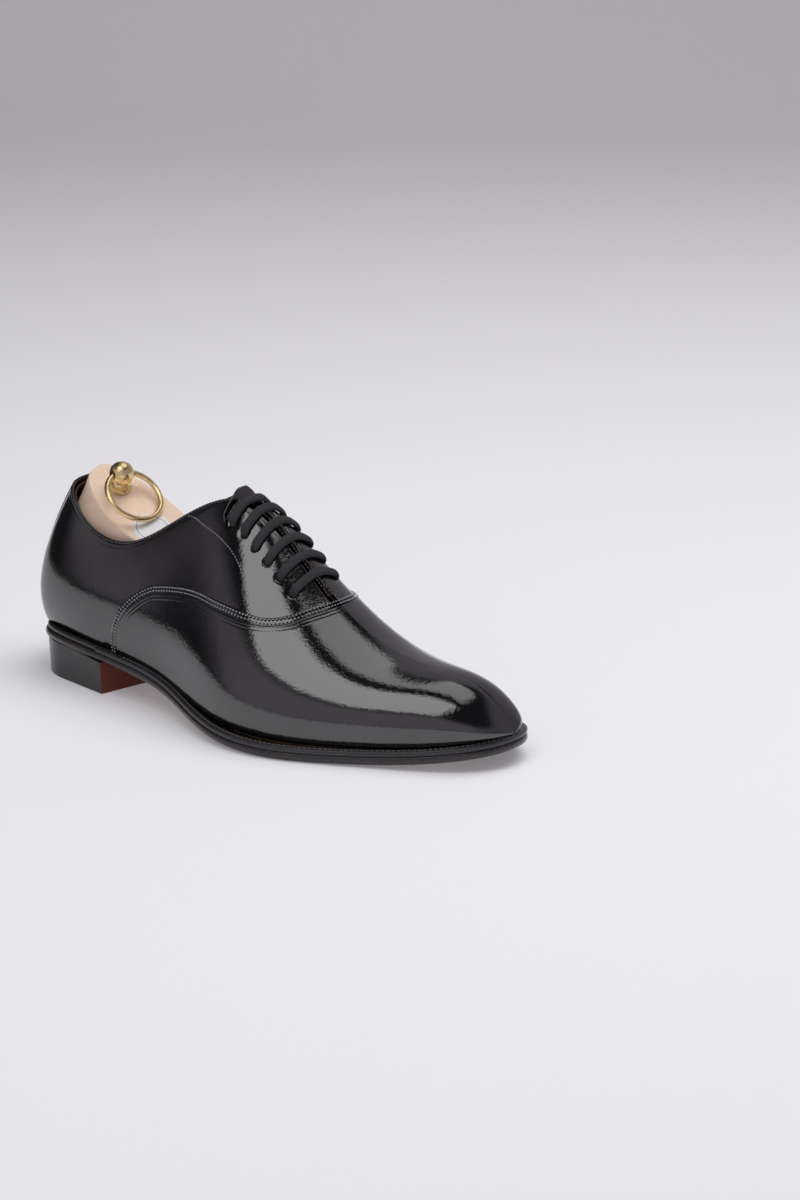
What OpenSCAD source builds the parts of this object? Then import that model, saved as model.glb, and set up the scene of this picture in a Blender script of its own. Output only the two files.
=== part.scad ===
// Lace-up oxford shoe, right foot, stored with a fitted two-piece shoe tree.
// X runs from heel to toe, -Y is the outer (lateral) side, Z is up, millimetres.

/* [Upper] */
// thickness of the quarter leather
quarter_t = 1.3; // [0.8:0.1:2]
// height the vamp stands proud of the quarters at the seam
vamp_lift = 0.8; // [0.3:0.1:1.5]
// thickness of the stiffeners between leather and lining
stiffener_t = 0.7; // [0.4:0.1:1.2]
// thickness of the lining leather
lining_t = 0.8; // [0.5:0.1:1.2]
// thickness of the tongue
tongue_t = 1.2; // [0.8:0.1:2.5]
// radius of the piped edge round the opening
binding_r = 0.9; // [0.6:0.1:1.5]
// thickness of the strip over the back seam
strip_t = 0.9; // [0.5:0.1:1.5]

/* [Lacing] */
// number of eyelet pairs
eyelet_pairs = 6; // [4:1:7]
// radius of the lace cord
lace_r = 1.6; // [1:0.1:2.2]
// radius of a punched lace hole
hole_r = 2.2; // [1.5:0.1:2.8]

/* [Bottom] */
// thickness of the outsole
outsole_t = 4; // [3:0.5:7]
// thickness of the welt
welt_t = 3; // [2:0.5:4]
// thickness of the rubber and leather top piece of the heel
top_piece_t = 6; // [4:0.5:8]
// thickness of one leather heel lift
lift_t = 4.5; // [3:0.5:6]
// half width of the heel
heel_half_w = 31.5; // [26:0.5:36]
// length of the heel from back to breast
heel_len = 67; // [55:1:75]
// radius of a heel nail
nail_r = 0.8; // [0.5:0.1:1.2]

/* [Shoe tree] */
// radius of the brass knob
knob_r = 6.5; // [5:0.5:9]
// radius of the cross hole in the knob
knob_hole_r = 2.6; // [2.2:0.1:3.2]
// radius of the ring to its wire centre
ring_r = 15; // [12:0.5:18]
// radius of the ring wire
wire_r = 1.5; // [1:0.1:2]
// radius of the hinge pin of the tree
hinge_pin_r = 1.9; // [1.5:0.1:2.5]
// clear gap between tree and lining
tree_gap = 0.6; // [0.3:0.1:2]

/* [Output] */
// one node by name, or all

/* [Hidden] */

// layers of the wall, measured inwards from the outer face
q_in = -quarter_t;
mid_out = q_in - 0.3;
mid_in = mid_out - stiffener_t;
lin_out = mid_in - 0.3;
lin_in = lin_out - lining_t;
v_out = vamp_lift;
v_in = -0.4;

// stations of the last, heel to toe: feather line (x, outer y, inner y, z)
FX = [4, 5, 18, 48, 78, 108, 138, 168, 198, 228, 254, 276, 290, 296];
FZ = [26.5, 26.5, 26.5, 26, 22.5, 18.5, 12, 8.5, 7, 7.5, 9, 12.5, 15, 16];
FL = [2, -19, -25, -33, -33, -36, -48, -57.5, -54, -41, -29, -19, -7, 7];
FM = [2, 20.5, 30, 29, 24, 22, 26, 32, 39, 41, 37, 29.5, 20.5, 7];
// top edge and ridge (x, z, middle y, half opening)
RX = [21, 21, 28, 49, 78, 108, 138, 168, 198, 228, 254, 276, 292, 296];
RZ = [102.5, 102, 95, 78.5, 76.5, 102.5, 113.5, 87.5, 59.5, 44, 41, 38.5, 22, 16];
RY = [1.5, 1, 0, -1, -1, 0, 1.5, 0, -1.5, -0.5, 2.5, 5, 6.5, 7];
RW = [0, 11, 20, 23, 22, 11, 2, 0, 0, 0, 0, 0, 0, 0];
// shoulder of the section
SX = [9, 11, 24, 49, 78, 108, 138, 168, 198, 228, 254, 276, 292, 296];
SZ = [85, 84.5, 79.5, 72.5, 74, 91, 109, 87.5, 58.5, 42, 41.5, 40, 22, 16];
SL = [0, 13.5, 23, 27, 27, 23, 20, 22, 24, 23, 19, 14, 7, 0];
SM = [0, 17, 25, 25, 23, 22, 23, 26, 25.5, 21.5, 18.5, 12, 7, 0];
// bulge of the section above the feather line
BX = [-7, -4, 14, 46, 78, 108, 138, 168, 198, 228, 254, 278, 296, 296];
BZ = [51.5, 51.5, 50.5, 50, 48, 46.5, 45, 42, 36.5, 31, 28, 25.5, 21.5, 16];
BL = [2, -24.5, -37, -40, -41.5, -45.5, -58, -68, -64.5, -51.5, -39, -28, -17, 7];
BM = [2, 28, 40, 38, 34, 34, 38, 44, 49, 50, 44, 34, 22, 7];
// outline of the welt and the sole edge
WX = [1.5, 7.5, 18.5, 48, 78, 108, 138, 168, 198, 228, 256, 280, 294, 299];
WL = [2, -21, -30, -37, -37, -39, -53, -64.5, -61.5, -47.5, -34, -22, -8, 7];
WM = [2, 20, 31, 31, 25, 25, 30, 37.5, 45, 47, 43, 35, 24, 7];
LAST = len(FX) - 1;

// four control rows of one side, side -1 outer, 1 inner
function row3(s, i) = [FX[i], s < 0 ? FL[i] : FM[i], FZ[i]];
function row2(s, i) = [BX[i], s < 0 ? BL[i] : BM[i], BZ[i]];
function row1(s, i) = [SX[i], RY[i] + s * (s < 0 ? SL[i] : SM[i]), SZ[i]];
function row0(s, i) = [RX[i], RY[i] + s * RW[i], RZ[i]];
function edge(s, i) = [WX[i], s < 0 ? WL[i] : WM[i], FZ[i]];
function ctrl(k, s, i) = k == 0 ? row0(s, i) : k == 1 ? row1(s, i) : k == 2 ? row2(s, i)
    : k == 3 ? row3(s, i) : edge(s, i);
// padded control point: the heel continues on the other side, the toe is turned about its tip
function pad(k, s, i) = i < 0 ? ctrl(k, -s, -i)
    : i <= LAST ? ctrl(k, s, i)
    : let(a = ctrl(k, s, LAST), b = ctrl(k, s, 2 * LAST - i)) [b[0], 2 * a[1] - b[1], 2 * a[2] - b[2]];
function spl(k, s, u) = let(i = min(floor(u), LAST - 1), f = u - i)
    ((1 - f) * (1 - f) * (1 - f) * pad(k, s, i - 1) + (3 * f * f * f - 6 * f * f + 4) * pad(k, s, i)
    + (-3 * f * f * f + 3 * f * f + 3 * f + 1) * pad(k, s, i + 1) + f * f * f * pad(k, s, i + 2)) / 6;
// point on the last surface: u along the shoe, v from the top edge (0) to the feather line (1)
function surf(s, u, v) = let(w = 1 - v)
    w * w * w * spl(0, s, u) + 3 * w * w * v * spl(1, s, u) + 3 * w * v * v * spl(2, s, u) + v * v * v * spl(3, s, u);
function unit(a) = a / norm(a);
function nrm(s, u, v) = let(e = 0.03, ua = max(u - e, 0), ub = min(u + e, LAST - 0.01),
    va = max(v - e, 0), vb = min(v + e, 1))
    unit(s * cross(surf(s, ub, v) - surf(s, ua, v), surf(s, u, vb) - surf(s, u, va)));
function off(s, u, v, d) = surf(s, u, v) + d * nrm(s, min(u, LAST - 0.12), v);
function mix(a, b, t) = a + (b - a) * t;
function seq(a, b, n) = [for (i = [0:n]) a + (b - a) * i / n];

// height of the vamp seam across the side, 1 at the feather line and 0 on the ridge
SEAM = [[3.85, 1], [3.95, 0.81], [4.1, 0.7], [4.25, 0.635], [4.5, 0.575], [4.75, 0.55], [5.4, 0.555],
    [6.1, 0.56], [6.7, 0.535], [7.2, 0.48], [7.6, 0.365], [7.8, 0.22], [7.9, 0.08], [7.92, 0]];
function seam(u) = lookup(u, SEAM);
// the facing edges beside the tongue
function facing(s, u) = lookup(u, [[5.8, 0], [6.1, s < 0 ? 0.05 : 0.02], [7.8, s < 0 ? 0.055 : 0.025]]);
function heel_z(u) = spl(3, 1, u)[2];

// the row's origin: middle of the shoe's length and of the sole's width, on the ground
edge_rows = concat(seq(0.06, 3.4, 20), seq(3.4, 12, 20), [12.3, 12.6, 12.8, 12.94]);
edge_pts = [for (u = edge_rows) each [inset(4, -1, u, 0), inset(4, 1, u, 0)]];
mid_x = (surf(1, 0, 0.78)[0] - strip_t - 0.1 + max([for (p = edge_pts) p[0]])) / 2;
mid_y = (min([for (p = edge_pts) p[1]]) + max([for (p = edge_pts) p[1]])) / 2;
module place() {
    translate([-mid_x, -mid_y, 0]) children();
}

// closed solid through a list of loops; the end faces are stitched like a ladder
module loft(loops, closed = false) {
    n = len(loops);
    m = len(loops[0]);
    h = m / 2;
    pts = [for (l = loops) for (p = l) p];
    side = [for (i = [0:n - (closed ? 1 : 2)]) for (j = [0:m - 1])
        let(a = i * m + j, b = i * m + (j + 1) % m, c = ((i + 1) % n) * m + (j + 1) % m, d = ((i + 1) % n) * m + j)
        each [[a, b, c], [a, c, d]]];
    cap0 = closed ? [] : [for (j = [0:h - 2]) each [[j, m - 1 - j, m - 2 - j], [j, m - 2 - j, j + 1]]];
    e = (n - 1) * m;
    cap1 = closed ? [] : [for (j = [0:h - 2]) each [[e + j, e + m - 2 - j, e + m - 1 - j], [e + j, e + j + 1, e + m - 2 - j]]];
    f = concat(side, cap0, cap1);
    vol = [for (t = f) pts[t[0]] * cross(pts[t[1]], pts[t[2]])] * [for (t = f) 1];
    polyhedron(pts, vol > 0 ? [for (t = f) [t[0], t[2], t[1]]] : f, convexity = 8);
}

// one side of a leather panel between two heights, with its outer and inner faces
module skin(s, us, va, vb, m, dout, din) {
    loft([for (i = [0:len(us) - 1]) concat(
        [for (j = [0:m]) off(s, us[i], mix(va[i], vb[i], j / m), dout[i])],
        [for (j = [m:-1:0]) off(s, us[i], mix(va[i], vb[i], j / m), din[i])])]);
}
function same(us, x) = [for (u = us) x];

// u rows of the quarters and of the vamp
QU = concat([0.012], seq(0.25, 3.5, 13), [3.8], seq(3.95, 4.25, 2), seq(4.6, 5.8, 4), seq(6.1, 7.6, 5), [7.8]);
VU = concat([3.87, 3.95, 4.1, 4.25], seq(4.6, 7.2, 7), [7.6, 7.8, 7.9, 7.92], seq(8.3, 12.3, 10), seq(12.5, 12.94, 4));

module holes(s) {
    for (k = [0:eyelet_pairs - 1]) {
        a = off(s, eye_u(k), eye_v(s, k), -6);
        b = off(s, eye_u(k), eye_v(s, k), 4);
        rod(a, b, hole_r, 10);
    }
}
function eye_u(k) = 5.95 + 1.42 * k / (eyelet_pairs - 1);
function eye_v(s, k) = (s < 0 ? 0.2 : 0.17) + 0.02 * min(k, 2);

// straight round bar between two points
module rod(a, b, r, n = 24) {
    d = b - a;
    translate(a)
        rotate([0, acos(d[2] / norm(d)), atan2(d[1], d[0])])
            cylinder(r = r, h = norm(d), $fn = n);
}

module quarter(s) {
    difference() {
        skin(s, QU, [for (u = QU) facing(s, u)], [for (u = QU) max(seam(u) - 0.006, facing(s, u) + 0.05)], 7,
            same(QU, 0), same(QU, q_in));
        holes(s);
    }
}
module quarter_lateral() {
    color("#17171a") quarter(-1);
}
module quarter_medial() {
    color("#17171a") quarter(1);
}
module vamp_half(s, dout, din, rows, m) {
    skin(s, rows, [for (u = rows) seam(u)], same(rows, 0.985), m, dout, din);
}
module vamp() {
    color("#121214") {
        vamp_half(-1, same(VU, v_out), same(VU, v_in), VU, 8);
        vamp_half(1, same(VU, v_out), same(VU, v_in), VU, 8);
    }
}
// the vamp lining steps inwards under the toe puff
function step_toe(u) = lookup(u, [[10.4, v_in - 0.6], [10.9, lin_out - 0.3]]);
LU = concat([3.9, 4.1, 4.25], seq(4.7, 7.2, 4), [7.6, 7.8, 7.92], seq(8.5, 10.4, 3), [10.9], seq(11.5, 12.9, 4));
module vamp_lining() {
    color("#5a3a2c") for (s = [-1, 1])
        vamp_half(s, [for (u = LU) step_toe(u)], [for (u = LU) step_toe(u) - 0.9], LU, 6);
}
// the quarter lining steps inwards under the heel counter and the facing stays
function step_quarter(u) = lookup(u, [[3.1, lin_out], [3.4, q_in - 0.35], [5.6, q_in - 0.35], [5.85, lin_out]]);
NU = concat([0.015, 0.8, 1.6, 2.4, 3.1, 3.4, 3.8], [3.95, 4.25], seq(4.6, 5.6, 3), [5.85], seq(6.1, 7.6, 5), [7.8]);
module quarter_lining(s) {
    difference() {
        skin(s, NU, [for (u = NU) facing(s, u)], [for (u = NU) max(seam(u) - 0.01, facing(s, u) + 0.05)], 5,
            [for (u = NU) step_quarter(u)], [for (u = NU) step_quarter(u) - lining_t]);
        holes(s);
    }
}
module quarter_lining_lateral() {
    color("#4a2a20") quarter_lining(-1);
}
module quarter_lining_medial() {
    color("#4a2a20") quarter_lining(1);
}
// stiffener round the heel, one piece across the back
module heel_counter() {
    k = 12;
    color("#8a6b4a")
        loft([for (i = [-k:k]) let(s = i < 0 ? -1 : 1, u = 3 * abs(i) / k, top = 0.38 + 0.35 * u / 3) concat(
            [for (j = [0:6]) off(s, u, mix(top, 0.98, j / 6), mid_out - 0.2)],
            [for (j = [6:-1:0]) off(s, u, mix(top, 0.98, j / 6), mid_in - 0.05)])]);
}
module toe_puff() {
    rows = concat([11, 11.5, 12], seq(12.3, 12.85, 3));
    color("#8a6b4a") for (s = [-1, 1])
        skin(s, rows, same(rows, 0), same(rows, 0.98), 6, same(rows, v_in - 0.35), same(rows, mid_in));
}
module facing_stay(s) {
    rows = seq(6.05, 7.55, 6);
    difference() {
        skin(s, rows, [for (u = rows) facing(s, u) + 0.01], same(rows, 0.3), 3, same(rows, mid_out), same(rows, mid_in));
        holes(s);
    }
}
module facing_stay_lateral() {
    color("#c8bda8") facing_stay(-1);
}
module facing_stay_medial() {
    color("#c8bda8") facing_stay(1);
}
// narrow strip over the back seam
module back_strip() {
    half = 0.85;
    color("#101012")
        loft([for (i = [0:9]) let(v = 0.01 + 0.985 * i / 9) concat(
            [for (j = [-4:4]) off(j < 0 ? -1 : 1, half * abs(j) / 4, v, 0.1 + strip_t)],
            [for (j = [4:-1:-4]) off(j < 0 ? -1 : 1, half * abs(j) / 4, v, 0.1)])]);
}
// piped edge along the opening
module topline_binding() {
    k = 26;
    color("#1c1c1f")
        loft([for (i = [-k:k]) let(s = i < 0 ? -1 : 1, u = 5.85 * abs(i) / k,
            p = surf(s, u, 0), n = nrm(s, u, 0), q = unit(surf(s, u, 0) - surf(s, u, 0.04)),
            c = p + n * q_in / 2 + q * (binding_r + 0.5))
            [for (j = [0:7]) c + binding_r * (cos(45 * j) * n + sin(45 * j) * q)]]);
}
// tongue under the facings, standing above the lacing
tongue_d = -5.4;
module tongue() {
    rows = seq(6.1, 8.2, 7);
    lift = [[-10.5, 0, 10], [-7.8, 0, 5.5], [-4, 0, 1.8]];
    function col(s, u, v, d) = off(s, u, v, d);
    function cross_row(u, half, d) = concat([for (j = [3:-1:1]) col(-1, u, 0.02 + half * j / 3, d)],
        [for (j = [1:3]) col(1, u, 0.02 + half * j / 3, d)]);
    function back(l) = [for (j = [len(l) - 1:-1:0]) l[j]];
    color("#151517")
        loft(concat(
            [for (i = [0:2]) let(h = 0.24 + 0.02 * i) [for (p = concat(cross_row(6.1, h, tongue_d), back(cross_row(6.1, h, tongue_d - tongue_t)))) p + lift[i]]],
            [for (u = rows) concat(cross_row(u, 0.3, tongue_d), back(cross_row(u, 0.3, tongue_d - tongue_t)))]));
}
// one round tube through a list of points
module tube(path, r, n = 8) {
    m = len(path) - 1;
    loft([for (i = [0:m]) let(
        t = unit(path[min(i + 1, m)] - path[max(i - 1, 0)]),
        a = unit(cross(t, [0.9, 0.1, 0.42])), b = cross(t, a))
        [for (j = [0:n - 1]) path[i] + r * (cos(360 * j / n + 22.5) * a + sin(360 * j / n + 22.5) * b)]]);
}
module lace() {
    deep = lin_in - 0.95;
    color("#0e0e0f") {
        // bars across the facings, each going down through its two holes
        for (k = [0:eyelet_pairs - 1]) {
            u = eye_u(k);
            a = eye_v(-1, k);
            b = eye_v(1, k);
            tube(concat([off(-1, u, a, deep), off(-1, u, a, -0.6), off(-1, u, a - 0.004, 0.7), off(-1, u, a - 0.028, lace_r + 0.1)],
                [for (t = [0.62, 0.3]) off(-1, u, a * t, lace_r + 0.25)],
                [(off(-1, u, 0.02, lace_r + 0.3) + off(1, u, 0.02, lace_r + 0.3)) / 2],
                [for (t = [0.3, 0.62]) off(1, u, b * t, lace_r + 0.25)],
                [off(1, u, b - 0.028, lace_r + 0.1), off(1, u, b - 0.004, 0.7), off(1, u, b, -0.6), off(1, u, b, deep)]), lace_r);
        }
        // runs between the rows, hidden under the facings
        run(-1, 0, 2, 0);
        run(-1, 2, 4, 0);
        run(-1, 1, 3, 1);
        run(1, 1, 3, 0);
        run(1, 3, 5, 0);
        run(1, 2, 4, 1);
        run(-1, 4, 5, 0);
    }
}
// flat hidden run of lace from row i to row j
module run(s, i, j, lane) {
    n = 6;
    loft([for (k = [0:n]) let(t = k / n, u = mix(eye_u(i), eye_u(j), t),
        v = mix(eye_v(s, i), eye_v(s, j), t) + (lane ? 0.075 : -0.075) * sin(180 * t),
        c = off(s, u, v, lin_in - 0.95), p = unit(off(s, u, v + 0.04, lin_in - 0.95) - c), q = nrm(s, u, v))
        [c + 1.3 * p + 0.45 * q, c - 1.3 * p + 0.45 * q, c - 1.3 * p - 0.45 * q, c + 1.3 * p - 0.45 * q]]);
}

// plan points of the sole edge, moved inwards by d, and of the feather line
function plan(k, s, u) = let(p = spl(k, s, u)) [p[0], p[1]];
function plan_n(k, s, u) = let(a = plan(k, s, max(u - 0.04, 0)), b = plan(k, s, min(u + 0.04, LAST - 0.001)), t = (b - a) / norm(b - a))
    s < 0 ? [t[1], -t[0]] : [-t[1], t[0]];
function inset(k, s, u, d) = plan(k, s, u) - d * plan_n(k, s, min(max(u, 0.1), LAST - 0.06));
function at_z(p, z) = [p[0], p[1], z];
// board following the bottom of the last
module board(k, rows, d, ztop, zbot) {
    loft([for (u = rows) let(z = heel_z(u), a = inset(k, -1, u, d), b = inset(k, 1, u, d))
        [at_z(a, z + ztop), at_z(b, z + ztop), at_z(b, z + zbot), at_z(a, z + zbot)]]);
}
// frame round the edge between two rows of the heel end, going round the toe or round the heel
module rim(path, inner, outer, ztop, zbot) {
    loft([for (q = path) let(s = q[0], u = q[1], z = heel_z(u), a = inset(3, s, u, inner), b = inset(4, s, u, outer))
        [at_z(a, z + ztop), at_z(b, z + ztop), at_z(b, z + zbot), at_z(a, z + zbot)]]);
}
BU = concat([0.06, 0.2, 0.4, 0.7], seq(1, 12, 22), [12.3, 12.6, 12.8, 12.94]);
TOE = concat(seq(3.4, 12, 20), [12.3, 12.6, 12.8, 12.94]);
function toe_path() = concat([for (u = TOE) [-1, u]], [for (i = [len(TOE) - 1:-1:0]) [1, TOE[i]]]);
HU = [3.38, 3, 2.6, 2.2, 1.8, 1.4, 1.1, 0.8, 0.5, 0.25, 0.08];
function heel_path() = concat([for (u = HU) [-1, u]], [for (i = [len(HU) - 1:-1:0]) [1, HU[i]]]);

module welt() {
    color("#141414") rim(toe_path(), 3.4, 0, -0.05, -welt_t + 0.05);
}
module heel_rand() {
    color("#141414") rim(heel_path(), 3.4, 1.1, -0.05, -welt_t + 0.05);
}
module insole() {
    rows = [for (u = BU) if (u < 12.7) u];
    color("#c9a074") board(3, rows, 3.9, 0.8, -2);
}
module sock_liner() {
    rows = [for (u = BU) if (u > 0.1 && u < 12.5) u];
    color("#6b4432") board(3, rows, 4.6, 1.6, 1);
}
module cork_filler() {
    rows = [for (u = BU) if (u > 6.4 && u < 12.2) u];
    color("#a5763f") board(3, rows, 4.4, -2.2, -2.9);
}
module shank() {
    color("#8f9296") loft([for (u = seq(2.9, 6.4, 7)) let(z = heel_z(u), a = (inset(3, -1, u, 0) + inset(3, 1, u, 0)) / 2)
        [[a[0], a[1] - 6, z - 2.1], [a[0], a[1] + 6, z - 2.1], [a[0], a[1] + 6, z - 2.9], [a[0], a[1] - 6, z - 2.9]]]);
}
module outsole() {
    color("#1a1715") board(4, BU, 0, -welt_t, -welt_t - outsole_t);
}

// heel outline, turned with the swing of the heel seat
heel_swing = -10.5;
heel_back = 4;
heel_front = heel_back + heel_len;
module heel_shape(grow, front) {
    w = heel_half_w + grow;
    translate([35, 0]) rotate(heel_swing) translate([-35, 0])
        intersection() {
            union() {
                translate([heel_back + heel_half_w, 0]) scale([1.0, 1]) circle(r = w, $fn = 72);
                translate([heel_back + heel_half_w, -w]) square([heel_len, 2 * w]);
            }
            translate([-10, -50]) square([10 + front, 100]);
        }
}
nail_at = [for (i = [0:12]) let(a = 62 + 236 * i / 12)
    i < 2 || i > 10 ? [heel_back + heel_half_w + 12 + (i == 0 || i == 12 ? 17 : 4), (i < 2 ? 1 : -1) * (heel_half_w - 5)]
    : [heel_back + heel_half_w + (heel_half_w - 5) * cos(a), (heel_half_w - 5) * sin(a)]];
module nail_set(r, z0, z1) {
    translate([35, 0]) rotate(heel_swing) translate([-35, 0])
        for (p = nail_at) translate([p[0], p[1], z0]) cylinder(r = r, h = z1 - z0, $fn = 12);
}
// rubber quarter at the back of the top piece
module insert_shape(grow) {
    translate([35, 0]) rotate(heel_swing) translate([-35, 0])
        intersection() {
            translate([heel_back + heel_half_w, 0]) circle(r = heel_half_w - 9 + grow, $fn = 60);
            translate([-10, -50]) square([heel_back + 26 + grow + 10, 100]);
        }
}
module top_piece() {
    color("#161413") difference() {
        linear_extrude(top_piece_t) heel_shape(0, heel_front);
        translate([0, 0, -1]) linear_extrude(4.1) insert_shape(0.1);
        nail_set(nail_r + 0.02, -1, top_piece_t + 1);
    }
}
module top_piece_insert() {
    color("#0c0c0c") linear_extrude(3) insert_shape(0);
}
module heel_nails() {
    color("#b08d4a") nail_set(nail_r, 0, top_piece_t + 3);
}
module lift(z0, z1, grow) {
    translate([0, 0, z0]) linear_extrude(z1 - z0) heel_shape(grow, heel_front);
}
lift_z = [for (i = [0:2]) top_piece_t + 0.05 + i * (lift_t + 0.02)];
module heel_lift_1() {
    color("#15120f") difference() {
        lift(lift_z[0], lift_z[0] + lift_t, 0.2);
        nail_set(nail_r + 0.02, top_piece_t - 1, top_piece_t + 3.1);
    }
}
module heel_lift_2() {
    color("#15120f") lift(lift_z[1], lift_z[1] + lift_t, 0.4);
}
// the top lift is dished and sloped to meet the sole
module heel_lift_3() {
    rows = concat([0, 0.3, 0.6], seq(1, 4.4, 8));
    color("#15120f") difference() {
        lift(lift_z[2], 22, 0.6);
        loft([for (u = rows) let(z = heel_z(u) - welt_t - outsole_t - 0.05, x = spl(4, 1, u)[0] - (u < 0.1 ? 8 : 0))
            [[x, -60, z], [x, 60, z], [x, 60, 40], [x, -60, 40]]]);
    }
}

// sloped top face of the heel block: height at the knob seat and its two slopes
seat = [45.4, 0.5, 99.88];
slope_x = -0.5;
slope_y = 0.33;
function block_z(p) = seat[2] + slope_x * (p[0] - seat[0]) + slope_y * (p[1] - seat[1]);
seat_n = unit([-slope_x, -slope_y, 1]);
// stations of the heel block (x, outer y, inner y): at its top face, and below the flared rim
BLOCK = [[28, -2, 3.2], [28.6, -4.2, 5], [30, -6.8, 7], [32.5, -9.3, 8.8], [36.5, -12, 10.3], [43, -15, 11.8], [53, -18, 13.6],
    [62, -18.6, 14.8], [72, -18, 15], [82, -16, 14.2], [93, -15, 13.5], [104, -15, 13.5], [116, -15, 13.5]];
BLOCK_LOW = [[23.8, -1.5, 3.5], [24, -5.5, 6.8], [24.9, -9.3, 10], [27.6, -13.3, 13], [32.4, -16.6, 15], [41.5, -18.8, 16.4], [52.2, -19.4, 16.8],
    [62, -19.2, 16.3], [72, -18, 15], [82, -16, 14.2], [93, -15, 13.5], [104, -15, 13.5], [116, -15, 13.5]];
// depth of the flared rim
flare_h = 13;
function floor_z(x) = lookup(x, [[20, 28.8], [50, 28.2], [80, 25], [105, 21.5], [118, 20], [140, 15]]);
hinge = [122, -4, 25];
function loop_of(rows) = concat([for (b = rows) [b[0], b[1]]], [for (i = [len(rows) - 1:-1:0]) [rows[i][0], rows[i][2]]]);
module tree_heel_block() {
    top = loop_of(BLOCK);
    low = loop_of(BLOCK_LOW);
    color("#e6cdb0") difference() {
        loft([[for (p = top) [p[0], p[1], block_z(p)]],
            [for (i = [0:len(low) - 1]) [low[i][0], low[i][1], block_z(top[i]) - flare_h]],
            [for (p = low) [p[0], p[1], floor_z(p[0]) + tree_gap]]]);
        translate([98, hinge[1] - 8.1, hinge[2] - 1.1]) cube([30, 16.2, 2.2]);
        rod(seat - 16.2 * seat_n, seat + 2 * seat_n, 2.05);
    }
}
module tree_leaf_rear() {
    color("#b8954f") difference() {
        union() {
            translate([98.2, hinge[1] - 8, hinge[2] - 1]) cube([20.2, 16, 2]);
            translate([117, hinge[1] - 3, hinge[2] - 1]) cube([5, 6, 2]);
            rod(hinge - [0, 3, 0], hinge + [0, 3, 0], 3.4, 36);
        }
        rod(hinge - [0, 9, 0], hinge + [0, 9, 0], hinge_pin_r + 0.08, 36);
    }
}
module tree_leaf_front() {
    color("#b8954f") difference() {
        union() {
            translate([126, hinge[1] - 8, hinge[2] - 1]) cube([16, 16, 2]);
            for (y = [-8, 3.3]) translate([0, y, 0]) {
                translate([122, hinge[1], hinge[2] - 1]) cube([5, 4.7, 2]);
                rod(hinge, hinge + [0, 4.7, 0], 3.4, 36);
            }
        }
        rod(hinge - [0, 9, 0], hinge + [0, 9, 0], hinge_pin_r + 0.02, 36);
    }
}
module tree_hinge_pin() {
    color("#c9a65a") rod(hinge - [0, 8, 0], hinge + [0, 8, 0], hinge_pin_r, 36);
}
// solid forepart of the tree, fitted to the inside of the upper
module tree_forepart() {
    rows = concat([5.7, 6.1, 6.4], seq(6.75, 8.25, 4), seq(8.8, 11.6, 5), [12, 12.3, 12.5]);
    m = 5;
    function fit_d(u) = min(step_toe(u) - 1.3, lookup(u, [[8.3, tongue_d - tongue_t - 1.3], [8.9, -2.2]])) - tree_gap;
    function arch(u) = let(d = fit_d(u)) concat([for (j = [m:-1:1]) off(-1, u, 0.05 + 0.8 * j / m, d)], [(off(-1, u, 0.03, d) + off(1, u, 0.03, d)) / 2],
        [for (j = [1:m]) off(1, u, 0.05 + 0.8 * j / m, d)]);
    color("#e6cdb0") difference() {
        loft([for (u = rows) let(a = arch(u), z = heel_z(u) + 2 + tree_gap, n = len(a) - 1)
            concat(a, [for (j = [n:-1:0]) [a[j][0], mix(a[j][1], (a[0][1] + a[n][1]) / 2, 0.12), z]])]);
        translate([120, hinge[1] - 8.1, hinge[2] - 1.1]) cube([22.1, 16.2, 2.2]);
        rod(hinge - [0, 9, 0], hinge + [0, 9, 0], 12, 36);
    }
}

// brass knob with cross hole, collar and ring; frame at the seat, local z along the seat normal
knob_h = 10.4;
knob_c = seat + knob_h * seat_n;
swing_axis = [0.184, 0.983, 0];
module seated() {
    translate(seat) rotate([0, acos(seat_n[2]), atan2(seat_n[1], seat_n[0])]) children();
}
module tree_knob() {
    color("#c2a05a") difference() {
        seated() rotate_extrude($fn = 64)
            polygon(concat([[0, 0.05], [5.5, 0.05], [6, 0.6], [6, 2.2], [5.4, 2.9], [4.2, 3.2], [3.5, 3.8], [3.3, 4.5]],
                [for (a = [-60:12:84]) [knob_r * cos(a), knob_h + knob_r * sin(a)]], [[0, knob_h + knob_r]]));
        rod(knob_c - 9 * swing_axis, knob_c + 9 * swing_axis, knob_hole_r, 36);
    }
}
module tree_knob_screw() {
    color("#b8954f") rod(seat - 16 * seat_n, seat - 0 * seat_n, 2, 24);
}
module tree_label() {
    color("#f4f4f2") translate([73.5, -5.5, block_z([73.5, -5.5])])
        rotate([0, acos(seat_n[2]), atan2(seat_n[1], seat_n[0])])
            translate([0, 0, 0.06]) scale([1, 0.95]) cylinder(r = 11, h = 0.3, $fn = 60);
}
// ring lying forward on the wood
ring_drop = 43;
ring_dir = [0.983 * cos(ring_drop), -0.184 * cos(ring_drop), -sin(ring_drop)];
module pull_ring() {
    c = knob_c + (ring_r - 0.7) * ring_dir;
    n = cross(swing_axis, ring_dir);
    color("#cbaa63") translate(c) rotate([0, acos(n[2]), atan2(n[1], n[0])])
        rotate_extrude($fn = 72) translate([ring_r, 0]) circle(r = wire_r, $fn = 24);
}

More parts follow.
